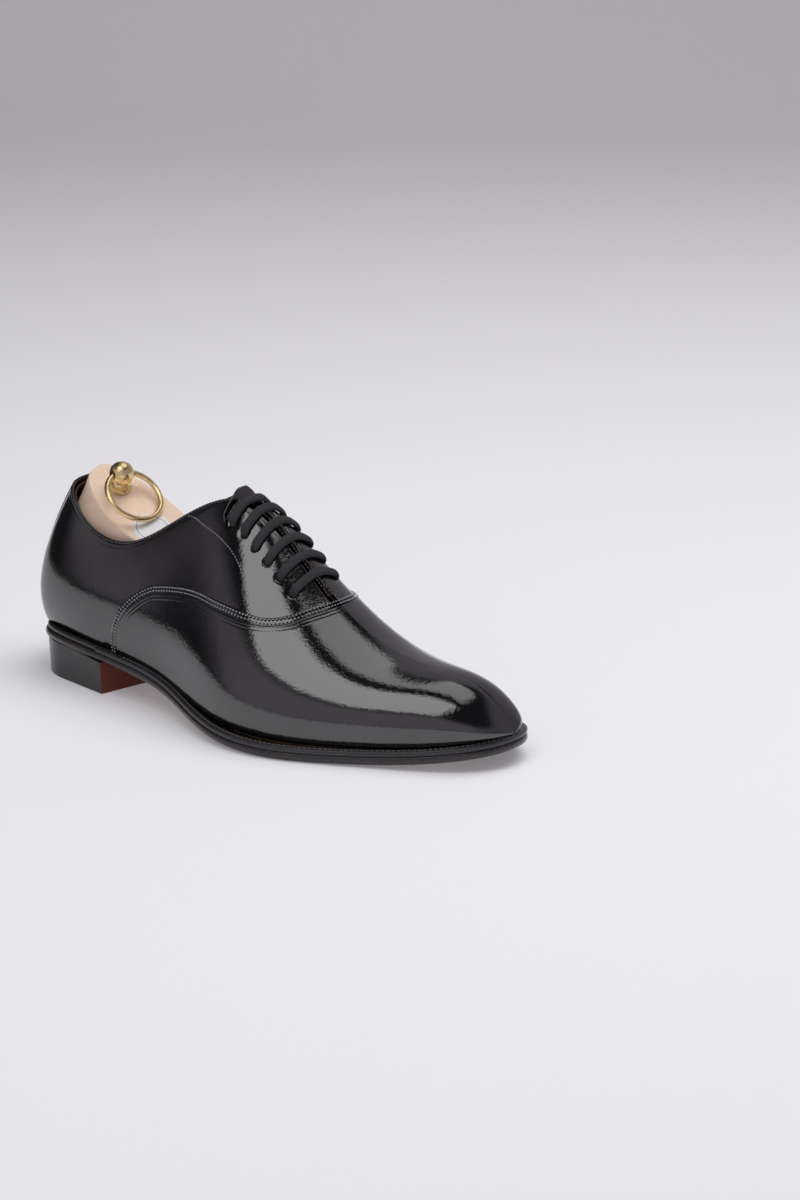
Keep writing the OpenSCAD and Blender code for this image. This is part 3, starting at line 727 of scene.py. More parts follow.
@dataclass(frozen=True)
class PaperFinish:
    """A plain matt paper oval with a thin printed line inside its edge."""

    name: str
    ink_at: float = 8.6
    ink_width: float = 0.22

    def build(self) -> bpy.types.Material:
        """The material, reading the attribute from_middle in millimetres."""
        n = Nodes(self.name)
        fibre = n.noise(0.4, 4)
        line = n.bell(n.number("from_middle"), self.ink_at, self.ink_width)
        shade = n.math("SUBTRACT", n.range(fibre, 0.72, 0.86), n.math("MULTIPLY", line, 0.55))
        mix = n.add("ShaderNodeCombineColor")
        for i in range(3):
            n.link(shade, mix.inputs[i])
        n.link(mix.outputs[0], n.shader.inputs["Base Color"])
        n.link(n.range(fibre, 0.45, 0.6), n.shader.inputs["Roughness"])
        n.raise_by(fibre, 0.01)
        return n.finish()


@dataclass(frozen=True)
class FloorFinish:
    """Pale studio paper with a faint painted glow that stands in for fill light, brighter near the shoe,
    which ends on one side and in front on a darker table.
    """

    name: str = "studio_floor"
    tone: float = 0.78
    # painted light: the paper's own glow near the shoe and far off, standing in for fill light
    painted_glow: float = 0.17
    far_painted_glow: float = 0.09
    table: float = 0.12
    front_edge_m: float = 0.68
    side_edge_m: float = 0.76
    edge_blur_m: float = 0.06

    def build(self) -> bpy.types.Material:
        """The material."""
        n = Nodes(self.name)
        a = math.radians(Studio.azimuth_deg)
        paper = 1.0
        front, left = (math.sin(a), -math.cos(a), 0.0), (-math.cos(a), -math.sin(a), 0.0)
        for axis, edge in ((front, self.front_edge_m), (left, self.side_edge_m)):
            reach = n.add("ShaderNodeVectorMath", operation="DOT_PRODUCT")
            reach.inputs[1].default_value = axis
            n.link(n.place(), reach.inputs[0])
            mask = n.range(reach.outputs["Value"], 1.0, self.table, edge, edge + self.edge_blur_m)
            paper = n.math("MULTIPLY", mask, paper)
        dim = n.add("ShaderNodeVectorMath", operation="SCALE")
        n.link(paper, dim.inputs["Scale"])
        grain = n.noise(3, 3)
        t = self.tone
        n.link(n.ramp(grain, ((0.3, (t * 0.99, t * 0.985, t * 1.0)), (0.7, (t, t * 0.995, t * 1.01)))),
               dim.inputs[0])
        n.link(dim.outputs[0], n.shader.inputs["Base Color"])
        n.set(Roughness=0.7, Specular_IOR_Level=0.1, Emission_Color=(0.98, 0.97, 1.0, 1.0))
        # painted light: the paper glows, fading with distance, in place of more fill light
        away = n.add("ShaderNodeVectorMath", operation="LENGTH")
        n.link(n.place(), away.inputs[0])
        painted_fill = n.range(away.outputs["Value"], self.painted_glow, self.far_painted_glow, 0.4, 3.5)
        n.link(n.math("MULTIPLY", painted_fill, paper), n.shader.inputs["Emission Strength"])
        return n.finish()


@dataclass
class Wardrobe:
    """Every finish of the shoe and its tree, each made once."""

    made: dict[str, bpy.types.Material] = field(default_factory=dict)

    def __post_init__(self) -> None:
        """Builds the materials."""
        ridges = (("seam_mm", 3.9, 0.4, 0.25), ("top_mm", 2.4, 0.6, -0.08))
        rows = (("seam_mm", 1.5, 0.4, -0.09), ("seam_mm", 3.3, 0.4, -0.09))
        for key, finish in {
            "quarter": PatentFinish("patent_quarter", ridges=ridges),
            "vamp": PatentFinish("patent_vamp", ridges=rows),
            "plain_patent": PatentFinish("patent_plain", wave_height=0.02),
            "binding": PatentFinish("edge_binding", base=(0.008, 0.008, 0.009), film=0.22, gloss=1.5,
                                    wave_height=0.0),
            "lining": GrainLeather("lining_brown", (0.035, 0.012, 0.008), (0.075, 0.026, 0.016), 0.5),
            "sock": GrainLeather("sock_brown", (0.16, 0.07, 0.035), (0.24, 0.11, 0.06), 0.5),
            "raw": GrainLeather("raw_leather", (0.42, 0.27, 0.15), (0.55, 0.37, 0.22), 0.7),
            "cloth": GrainLeather("stay_cloth", (0.55, 0.5, 0.4), (0.72, 0.67, 0.56), 0.85, 0.35, 0.06),
            "cork": GrainLeather("cork_filler", (0.28, 0.15, 0.06), (0.55, 0.36, 0.18), 0.8, 1.1, 0.15),
            "welt": StackLeather("welt_black", (0.008, 0.008, 0.009), (0.045, 0.042, 0.045), 0.3),
            "edge": StackLeather("sole_edge_black", (0.008, 0.007, 0.008), (0.05, 0.043, 0.046), 0.26),
            "heel": StackLeather("heel_black", (0.010, 0.009, 0.010), (0.028, 0.026, 0.027), 0.22,
                                 height=0.008),
            "breast": StackLeather("heel_breast_brown", (0.06, 0.009, 0.004), (0.24, 0.045, 0.018), 0.55),
            "bottom": GrainLeather("sole_underside", (0.20, 0.09, 0.045), (0.32, 0.16, 0.085), 0.42),
            "rubber": GrainLeather("heel_rubber", (0.012, 0.012, 0.012), (0.03, 0.03, 0.03), 0.6, 0.6, 0.05),
            "steel": BrassFinish("shank_steel", (0.55, 0.56, 0.58), (0.35, 0.35, 0.36), 0.4),
            "wood": WoodFinish("tree_beech"),
            "brass": BrassFinish("tree_brass"),
            "nail": BrassFinish("nail_brass", (0.7, 0.5, 0.24), (0.4, 0.27, 0.11), 0.4),
            "lace": WovenCord("lace_cotton"),
            "thread": ThreadFinish("thread_black"),
            "dark_thread": ThreadFinish("thread_dark", (0.05, 0.05, 0.054), (0.24, 0.24, 0.25)),
            # black thread made lighter as a painted highlight, for the facing arc
            "highlit_thread": ThreadFinish("thread_black_painted_highlight", (0.14, 0.14, 0.15), (0.46, 0.46, 0.48)),
            "label": PaperFinish("label_paper"),
        }.items():
            self.made[key] = finish.build()

    def __getitem__(self, key: str) -> bpy.types.Material:
        """The material of that name."""
        return self.made[key]


def fit_out(obj: bpy.types.Object, body: Body, *mats: bpy.types.Material, node: Sequence[str] = (),
            slot: str = "") -> bpy.types.Object:
    """Dresses a piece and fastens it to its body.

    Args:
        obj: the piece.
        body: the body it moves with.
        mats: its materials, in slot order.
        node: CAD nodes that it stands for.
        slot: not used.

    Returns:
        The piece.
    """
    for mat in mats:
        obj.data.materials.append(mat)
    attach(obj, body.value)
    if node:
        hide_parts(*node)
    log.info("%s: %d points on %s", obj.name, len(getattr(obj.data, "vertices", [])), body.value)
    return obj


# ---------------------------------------------------------------- the upper

@dataclass
class Upper:
    """Vamp, quarters, back strip, tongue, linings, binding and all their stitching."""

    wardrobe: Wardrobe
    quarter_mm: float = 1.3
    vamp_lift_mm: float = 0.8
    lining_top_mm: float = -2.6
    lining_mm: float = 0.8
    tongue_depth_mm: float = 5.4
    binding_mm: float = 0.95

    def build(self) -> None:
        """Makes every piece of the upper."""
        self.vamp()
        for side in Side:
            self.quarter(side)
            self.lining(side)
        self.back_strip()
        self.tongue()
        self.binding()
        self.sewing()

    def seam_line(self, side: Side, lift: float, across: float = 0.0, n: int = 700) -> tuple[Array, Array]:
        """The vamp seam on one side from the feather line to the throat.

        Args:
            side: the side.
            lift: height over the last, in millimetres.
            across: distance into the vamp, in millimetres; negative is up the quarter.
            n: number of points.

        Returns:
            Points in metres and normals.
        """
        u = runs((3.85, 4.25, n // 4), (4.26, 7.2, n // 2), (7.21, 7.92, n // 4))
        v = LAST.seam(u)
        if across:
            u, v = LAST.step(side, u, v, side.value * across)
        return LAST.point(side, u, v, lift), LAST.normal(side, u, v)

    def whole_seam(self, lift: float, across: float = 0.0) -> tuple[Array, Array]:
        """The seam from the outer feather line over the throat to the inner one."""
        po, no = self.seam_line(Side.OUTER, lift, across)
        pi, ni = self.seam_line(Side.INNER, lift, across)
        return np.vstack([po, pi[::-1]]), np.vstack([no, ni[::-1]])

    def vamp(self) -> None:
        """The front of the upper: both sides in one skin that closes over the ridge."""
        u = runs((3.855, 3.95, 12), (3.96, 4.3, 16), (4.32, 7.5, 90), (7.51, 7.92, 44), (7.96, 12.5, 130),
                 (12.53, 12.9, 18), (12.93, 12.96, 2), (12.98, 12.995, 2))
        cols = 64
        t = np.linspace(0, 1, cols)
        t = t + 0.04 * np.sin(2 * np.pi * t)
        U = np.repeat(u[:, None], cols, 1)
        grids, backs = [], []
        for side in Side:
            top = LAST.seam(u)[:, None]
            V = top + (0.992 - top) * t[None]
            grids.append(LAST.point(side, U, V, np.full(U.shape, self.vamp_lift_mm)))
            backs.append(LAST.point(side, U, V, np.full(U.shape, -0.4)))
        outer = np.concatenate([grids[0][:, ::-1], grids[1]], 1)
        inner = np.concatenate([backs[0][:, ::-1], backs[1]], 1)
        n, m = outer.shape[:2]
        k = n * m
        split = int(np.searchsorted(u, 7.9201))
        mid = cols - 1
        faces = []
        for i in range(n - 1):
            for j in range(m - 1):
                if j == mid:
                    continue
                a = i * m + j
                f = (a, a + 1, a + m + 1, a + m)
                faces.append(f)
                faces.append(tuple(k + x for x in reversed(f)))
        rims = [[i * m for i in range(n)], [i * m + m - 1 for i in range(n - 1, -1, -1)],
                [i * m + mid for i in range(split)][::-1], [i * m + mid + 1 for i in range(split)],
                [j for j in range(mid, -1, -1)], [j for j in range(m - 1, mid, -1)]]
        for ring in rims:
            faces += [(a, b, b + k, a + k) for a, b in zip(ring, ring[1:])]
        seam = self.whole_seam(self.vamp_lift_mm)[0]
        away = distance_to(outer, seam)
        obj = add_mesh("vamp_leather", np.concatenate([outer.reshape(-1, 3), inner.reshape(-1, 3)]), faces,
                       layers={"seam_mm": np.concatenate([away.ravel(), away.ravel()])})
        tidy(obj)
        fit_out(obj, Body.SHOE, self.wardrobe["vamp"], node=["vamp"], slot="patent_vamp")
        path, nrm = self.whole_seam(0.35)
        idx = even(path, 0.7 * MM)
        roll = tube("vamp_turned_edge", between(path, idx), 0.5 * MM, unit(between(nrm, idx)), 0.95, 12)
        fit_out(roll, Body.SHOE, self.wardrobe["plain_patent"], slot="patent_vamp")

    def quarter(self, side: Side) -> None:
        """One quarter, from the back seam to the facing, tucked under the vamp's edge."""
        u = runs((0.006, 3.8, 120), (3.82, 4.3, 30), (4.33, 7.4, 120), (7.42, 7.86, 26))
        cols = 72
        top = LAST.facing(side, u)
        low = np.minimum(LAST.seam(u) + 0.012, 1.0)
        low = np.maximum(low, top + 0.02)
        t = np.linspace(0, 1, cols)
        U = np.repeat(u[:, None], cols, 1)
        V = top[:, None] + (low - top)[:, None] * t[None]
        # the top edge is turned over: the outer face rolls in over the last half millimetre
        roll = np.zeros(cols)
        roll[0], roll[1] = -0.35, -0.04
        grid = LAST.point(side, U, V, np.repeat(roll[None], len(u), 0))
        back = LAST.point(side, U, V, np.full(U.shape, -self.quarter_mm))
        seam = self.seam_line(side, 0.0)[0]
        edge_u = np.linspace(0.0, 7.8, 900)
        edge = LAST.point(side, edge_u, LAST.facing(side, edge_u), 0.0 * edge_u)
        name = f"quarter_{'outer' if side is Side.OUTER else 'inner'}"
        obj = shell(name, grid, back, {"seam_mm": distance_to(grid, seam), "top_mm": distance_to(grid, edge)})
        self.punch(obj, side)
        node = "quarter_lateral" if side is Side.OUTER else "quarter_medial"
        fit_out(obj, Body.SHOE, self.wardrobe["quarter"], node=[node], slot="patent_quarter")

    def punch(self, obj: bpy.types.Object, side: Side) -> None:
        """Dimples the leather where the lace enters."""
        me = obj.data
        co = np.empty(len(me.vertices) * 3, np.float32)
        me.vertices.foreach_get("co", co)
        co = co.reshape(-1, 3).astype(float)
        for k in range(Lacing.pairs):
            u, v = Lacing.eye(side, k)
            c = LAST.point(side, np.array(u), np.array(v), np.array(0.0))
            n = LAST.normal(side, np.array(u), np.array(v))
            d = np.linalg.norm(co - c, axis=1) / MM
            co -= n * (0.9 * MM * np.exp(-(d / 1.7) ** 2))[:, None]
        me.vertices.foreach_set("co", co.astype(np.float32).ravel())
        me.update()

    def lining(self, side: Side) -> None:
        """The brown quarter lining."""
        u = runs((0.01, 3.8, 70), (3.85, 4.3, 14), (4.4, 7.8, 60))
        cols = 34
        top = LAST.facing(side, u) + 0.004
        low = np.maximum(LAST.seam(u) - 0.01, top + 0.03)
        t = np.linspace(0, 1, cols) ** 1.3
        U = np.repeat(u[:, None], cols, 1)
        V = top[:, None] + (low - top)[:, None] * t[None]
        step = np.interp(u, [3.1, 3.4, 5.6, 5.85], [0.0, 0.95, 0.95, 0.0])[:, None]
        out = LAST.point(side, U, V, self.lining_top_mm + step + 0 * V)
        back = LAST.point(side, U, V, self.lining_top_mm + step - self.lining_mm + 0 * V)
        outer = side is Side.OUTER
        word, node = ("outer", "quarter_lining_lateral") if outer else ("inner", "quarter_lining_medial")
        fit_out(shell(f"lining_{word}", out, back), Body.SHOE, self.wardrobe["lining"], node=[node],
                slot="lining_leather")

    def back_strip(self) -> None:
        """The narrow strip that covers the back seam."""
        half, n, m = 0.85, 90, 41
        j = np.linspace(-1, 1, m)
        v = np.linspace(0.008, 0.997, n)
        rise = 0.95 * np.clip(1 - np.abs(j), 0, 0.045) / 0.045
        rise = np.sqrt(np.clip(rise / 0.95, 0, 1)) * 0.85 + 0.05
        out, back = np.zeros((n, m, 3)), np.zeros((n, m, 3))
        for c in range(m):
            side = Side.OUTER if j[c] < 0 else Side.INNER
            u = np.full(n, half * abs(j[c]))
            out[:, c] = LAST.point(side, u, v, np.full(n, rise[c]))
            back[:, c] = LAST.point(side, u, v, np.full(n, 0.03))
        obj = shell("back_strip_leather", out, back)
        fit_out(obj, Body.SHOE, self.wardrobe["plain_patent"], node=["back_strip"], slot="patent_vamp")

    def tongue(self) -> None:
        """The tongue: under the facings, its top edge curling up above the lacing."""
        d0 = -self.tongue_depth_mm
        u = np.linspace(6.1, 8.2, 60)
        half = 13
        spread = np.linspace(0, 1, half + 1)[1:]

        def row(un: float, wide: float, d: float) -> Array:
            """One line across the tongue."""
            uu = np.full(half, un)
            left = LAST.point(Side.OUTER, uu[::-1], 0.02 + wide * spread[::-1], np.full(half, d))
            right = LAST.point(Side.INNER, uu, 0.02 + wide * spread, np.full(half, d))
            return np.vstack([left, right])

        def sheet(d: float) -> Array:
            """One face of the tongue."""
            rows = []
            first = row(6.1, 0.3, d)
            for k in np.linspace(1, 0.06, 18):
                narrow = row(6.1, 0.24 + 0.06 * (1 - k), d)
                rows.append(narrow + np.array([-13 * k + 3.5 * k * k, 0, 3 * k + 10 * k * k]) * MM)
            rows.append(first)
            rows += [row(x, 0.3, d) for x in u[1:]]
            return np.array(rows)

        obj = shell("tongue_leather", sheet(d0), sheet(d0 - 1.2))
        fit_out(obj, Body.SHOE, self.wardrobe["plain_patent"], node=["tongue"], slot="patent_quarter")

    def binding(self) -> None:
        """The piped edge round the opening."""
        u = np.linspace(0, 5.95, 260)
        paths, hints = [], []
        for side, order in ((Side.OUTER, slice(None, None, -1)), (Side.INNER, slice(1, None))):
            p = LAST.point(side, u, 0 * u, np.full(u.shape, -self.quarter_mm / 2))
            up = unit(LAST.raw(side, u, 0 * u) - LAST.raw(side, u, 0 * u + 0.04))
            paths.append((p + up * (self.binding_mm * 0.75) * MM)[order])
            hints.append(up[order])
        obj = tube("topline_piping", np.vstack(paths), self.binding_mm * MM, np.vstack(hints), 0.9, 18)
        fit_out(obj, Body.SHOE, self.wardrobe["binding"], node=["topline_binding"], slot="edge_binding")

    def curve(self, side: Side, u: Array, v: Array, lift: float, across: float = 0.0) -> tuple[Array, Array]:
        """A sewn line on the surface, moved across by some millimetres."""
        if across:
            u, v = LAST.step(side, u, v, across)
        return LAST.point(side, u, v, np.full(u.shape, lift)), LAST.normal(side, u, v)

    def sewing(self) -> None:
        """Every row of stitches on the upper."""
        rise = self.vamp_lift_mm
        rows = [self.whole_seam(rise, 1.5), self.whole_seam(rise, 3.3)]
        top, facing, arcs, strip = [], [], [], []
        for side in Side:
            s = side.value
            u = np.linspace(0.95, 5.9, 500)
            top.append(self.curve(side, u, 0 * u + 1e-4, 0.0, 2.3 * s))
            u = np.linspace(6.15, 7.72, 260)
            facing.append(self.curve(side, u, LAST.facing(side, u), 0.0, 1.7 * s))
            t = np.linspace(4.92, 6.95, 300)
            arc = smooth_table(t, ((4.9, 0.03), (5.43, 0.215), (5.93, 0.295), (6.22, 0.325), (6.5, 0.36),
                                   (6.7, 0.39), (6.85, 0.435), (6.95, 0.49)))
            arcs.append(self.curve(side, t, arc, 0.0))
            v = np.linspace(0.03, 0.985, 300)
            strip.append(self.curve(side, np.full(300, 0.76), v, 0.95))
        for name, curves, pitch, thread, fill, finish, slot in (
            ("seam_stitches", rows, 2.0, 0.36, 0.58, "thread", "patent_vamp"),
            ("topline_stitches", top, 2.0, 0.24, 0.62, "dark_thread", "patent_quarter"),
            ("facing_stitches", facing, 2.0, 0.24, 0.62, "dark_thread", "patent_quarter"),
            # the facing arc's black thread is lighter as a painted highlight
            ("facing_arc_stitches", arcs, 2.0, 0.28, 0.66, "highlit_thread", "patent_quarter"),
            ("back_strip_stitches", strip, 1.9, 0.22, 0.8, "dark_thread", "patent_vamp"),
        ):
            fit_out(stitches(name, curves, pitch, thread, fill), Body.SHOE, self.wardrobe[finish], slot=slot)


@dataclass
class Lacing:
    """The lace: level bars over the facings, each end dropping through its hole."""

    wardrobe: Wardrobe
    radius_mm: float = 2.35
    flat: float = 0.58
    pairs: int = 6

    @staticmethod
    def eye(side: Side, k: int) -> tuple[float, float]:
        """Surface coordinates of the k-th lace hole."""
        u = 5.95 + 1.42 * k / (Lacing.pairs - 1)
        return u, (0.2 if side is Side.OUTER else 0.17) + 0.02 * min(k, 2)

    def bar(self, k: int) -> bpy.types.Object:
        """One bar with its two ends going down the holes."""
        r = self.radius_mm
        h = r * self.flat + 0.25
        pts = []

        def at(side: Side, v: float, lift: float) -> Array:
            """A point over the facing at the bar's own station."""
            return LAST.point(side, np.array(self.eye(side, k)[0]), np.array(v), np.array(lift))

        a, b = self.eye(Side.OUTER, k)[1], self.eye(Side.INNER, k)[1]
        for lift, dv in ((-3.6, 0.0), (-2.0, 0.0), (-0.6, 0.002), (0.5, 0.006), (h, 0.024)):
            pts.append(at(Side.OUTER, a - dv, lift))
        for t in (0.72, 0.45, 0.2):
            pts.append(at(Side.OUTER, a * t, h))
        pts.append((at(Side.OUTER, 0.02, h) + at(Side.INNER, 0.02, h)) / 2)
        for t in (0.2, 0.45, 0.72):
            pts.append(at(Side.INNER, b * t, h))
        for lift, dv in ((h, 0.024), (0.5, 0.006), (-0.6, 0.002), (-2.0, 0.0), (-3.6, 0.0)):
            pts.append(at(Side.INNER, b - dv, lift))
        pts = np.array(pts)
        run = np.r_[0, np.cumsum(np.linalg.norm(np.diff(pts, axis=0), axis=1))]
        fine = np.linspace(0, run[-1], 90)
        path = np.stack([smooth_table(fine, list(zip(run, pts[:, c]))) for c in range(3)], 1)
        for _ in range(6):
            path[1:-1] = (path[:-2] + 2 * path[1:-1] + path[2:]) / 4
        ahead = np.array([0.75, 0.0, -0.66])
        hint = np.cross(np.tile(ahead, (len(path), 1)), unit(np.gradient(path, axis=0)))
        return tube(f"lace_bar_{k + 1}", path, r * MM, unit(hint), self.flat, 20, layers=True)

    def build(self) -> None:
        """All six bars; the first stands for the CAD lace."""
        for k in range(self.pairs):
            fit_out(self.bar(k), Body.SHOE, self.wardrobe["lace"], node=["lace"] if k == 0 else [],
                    slot="lace_cord")


# ---------------------------------------------------------------- the bottom

@dataclass
class Bottom:
    """Welt, rand, outsole and the stacked heel."""

    wardrobe: Wardrobe
    welt_mm: float = 3.0
    sole_mm: float = 4.0
    heel_half_mm: float = 31.5
    heel_back_mm: float = 4.0
    heel_len_mm: float = 67.0
    swing_deg: float = -10.5
    top_piece_mm: float = 6.0
    lift_mm: float = 4.5

    def build(self) -> None:
        """Makes every piece of the bottom."""
        self.welt()
        self.outsole()
        self.heel()

    @staticmethod
    def outline(u: Array, inset: float, line: Line = Line.EDGE) -> tuple[Array, Array]:
        """Edge points of the sole in millimetres.

        Args:
            u: stations.
            inset: how far inside the edge.
            line: the sole edge or the feather line.

        Returns:
            The outer and the inner side's points, by 3, with z on the feather line.
        """
        sides = []
        for side in Side:
            p = LAST.spline(line, side, u)
            c = np.clip(u, 0.02, LAST.end - 0.02)
            d = LAST.spline(line, side, c + 0.015) - LAST.spline(line, side, c - 0.015)
            n = unit(np.stack([d[:, 1], -d[:, 0], 0 * u], 1)) * (-side.value)
            p = p - inset * n
            sides.append(p)
        return sides[0], sides[1]

    def ring_path(self, u: Array, profile: Sequence[tuple[float, float]], line: Line = Line.EDGE) -> Array:
        """Loops of a profile swept from the outer side round the toe to the inner side."""
        cols = []
        for inset, z in profile:
            o, i = self.outline(u, inset, line)
            pts = np.vstack([o, i[::-1]])
            pts[:, 2] += z
            cols.append((pts - LAST.middle()) * MM)
        return np.stack(cols, 1)

    def sweep(self, name: str, u: Array, profile: Sequence[tuple[float, float]]) -> bpy.types.Object:
        """A closed profile swept along the edge of the sole, with flat ends."""
        loops = self.ring_path(u, profile)
        n, m = loops.shape[:2]
        faces = quads(n, m, wrap=True)
        faces += [tuple(range(m - 1, -1, -1)), tuple((n - 1) * m + j for j in range(m))]
        return tidy(add_mesh(name, loops, faces))

    def welt(self) -> None:
        """The welt round the forepart and the rand round the heel seat, with the welt's sewing."""
        t = self.welt_mm
        front = runs((3.4, 12, 170), (12.03, 12.985, 50))
        edge = [(4.2, -0.05), (2.6, -0.05), (1.2, -0.02), (0.55, -0.1), (0.2, -0.35), (0.02, -0.8),
                (-0.05, -1.4), (0.1, -2.1), (0.35, -2.55), (0.7, -t + 0.05), (4.2, -t + 0.05)]
        heel = runs((3.38, 0.6, 70), (0.58, 0.01, 30))
        rand = [(4.2, -0.05), (1.7, -0.05), (1.35, -0.3), (1.15, -0.9), (1.1, -1.5), (1.25, -2.3),
                (1.6, -2.8), (1.8, -t + 0.05), (4.2, -t + 0.05)]
        for name, u, profile, node in (("welt_strip", front, edge, "welt"),
                                       ("heel_rand_strip", heel, rand, "heel_rand")):
            fit_out(self.sweep(name, u, profile), Body.SHOE, self.wardrobe["welt"], node=[node],
                    slot="welt_leather")
        curves = []
        u = np.linspace(4.0, 12.97, 900)
        for pts in self.outline(u, 2.0):
            curves.append(((pts - LAST.middle()) * MM, np.tile([0.0, 0.0, 1.0], (len(pts), 1))))
        fit_out(stitches("welt_stitches", curves, 2.6, 0.32, 0.85), Body.SHOE, self.wardrobe["dark_thread"],
                slot="welt_leather")

    def outsole(self) -> None:
        """The sole: a rounded, grooved edge and a gently crowned underside."""
        w, t = -self.welt_mm, -(self.welt_mm + self.sole_mm)
        u = runs((0.005, 0.6, 30), (0.63, 12, 240), (12.03, 12.995, 46))
        edge = [(7.0, w), (0.9, w), (0.45, w - 0.15), (0.3, w - 0.5), (0.0, w - 0.95), (-0.1, w - 1.7),
                (0.0, w - 2.6), (0.35, w - 3.4), (0.9, t + 0.15), (1.8, t), (7.0, t)]
        loops = self.ring_path(u, edge)
        n, m = loops.shape[:2]
        half = n // 2
        faces = quads(n, m)
        top = [(i * m, (i + 1) * m, (n - 2 - i) * m, (n - 1 - i) * m) for i in range(half - 1)]
        low = [(a + m - 1, b + m - 1, c + m - 1, d + m - 1) for a, b, c, d in top]
        faces += top + [tuple(reversed(f)) for f in low]
        obj = add_mesh("outsole_leather", loops, faces)
        tidy(obj)
        obj.data.materials.append(self.wardrobe["edge"])
        obj.data.materials.append(self.wardrobe["bottom"])
        for p in obj.data.polygons:
            p.material_index = 1 if p.normal.z < -0.75 and p.area > 4e-5 else 0
        crease_by_angle(obj, 50)
        fit_out(obj, Body.SHOE, node=["outsole"], slot="sole_leather")

    def heel_points(self, grow: float, arc: int = 72) -> Array:
        """The heel's outline, counter-clockwise, starting at the inner breast corner, in millimetres."""
        c = self.heel_back_mm + self.heel_half_mm
        w = self.heel_half_mm + grow
        front = self.heel_back_mm + self.heel_len_mm
        ang = np.linspace(math.pi / 2, 3 * math.pi / 2, arc)
        pts = [(front, w)] + [(x, w) for x in np.linspace(front - 1.2, c + 3, 8)]
        pts += [(c + w * math.cos(a), w * math.sin(a)) for a in ang]
        pts += [(x, -w) for x in np.linspace(c + 3, front - 1.2, 8)] + [(front, -w)]
        p = np.array(pts)
        s, k = math.sin(math.radians(self.swing_deg)), math.cos(math.radians(self.swing_deg))
        x, y = p[:, 0] - 35, p[:, 1]
        return np.stack([35 + k * x - s * y, s * x + k * y], 1)

    def sole_under(self, x: Array) -> Array:
        """Height of the sole's underside over the heel, in millimetres."""
        u = np.linspace(0, 5, 60)
        p = LAST.spline(Line.EDGE, Side.OUTER, u)
        return np.interp(x, p[:, 0], p[:, 2]) - self.welt_mm - self.sole_mm

    def lift(self, name: str, z0: float, z1: Optional[float], grow: float, node: str) -> None:
        """One layer of the heel; without z1 its top follows the sole."""
        out = self.heel_points(grow)
        small = self.heel_points(grow - 0.07)
        n = len(out)
        top = np.full(n, z1) if z1 is not None else self.sole_under(out[:, 0]) - 0.05
        levels = [(small, np.full(n, z0)), (out, np.full(n, z0 + 0.08)), (out, top - 0.08), (small, top)]
        verts = np.vstack([np.column_stack([p, z]) for p, z in levels])
        faces = quads(len(levels), n, wrap=True)
        half = n // 2
        base = (len(levels) - 1) * n
        faces += [(base + i, base + i + 1, base + n - 2 - i, base + n - 1 - i) for i in range(half - 1)]
        faces += [(n - 1 - i, n - 2 - i, i + 1, i) for i in range(half - 1)]
        obj = tidy(add_mesh(name, (verts - LAST.middle()) * MM, faces))
        for mat in ("heel", "breast", "bottom"):
            obj.data.materials.append(self.wardrobe[mat])
        for p in obj.data.polygons:
            p.material_index = 1 if p.normal.x > 0.9 else 2 if p.normal.z < -0.9 else 0
        crease_by_angle(obj, 25)
        fit_out(obj, Body.SHOE, node=[node], slot="heel_leather")

    def heel(self) -> None:
        """Top piece and three lifts."""
        z = self.top_piece_mm + 0.05
        self.lift("heel_top_piece", 0.0, self.top_piece_mm, 0.0, "top_piece")
        self.lift("heel_layer_1", z, z + self.lift_mm, 0.2, "heel_lift_1")
        self.lift("heel_layer_2", z + self.lift_mm + 0.02, z + 2 * self.lift_mm + 0.02, 0.4, "heel_lift_2")
        self.lift("heel_layer_3", z + 2 * self.lift_mm + 0.04, None, 0.6, "heel_lift_3")


# ---------------------------------------------------------------- the tree

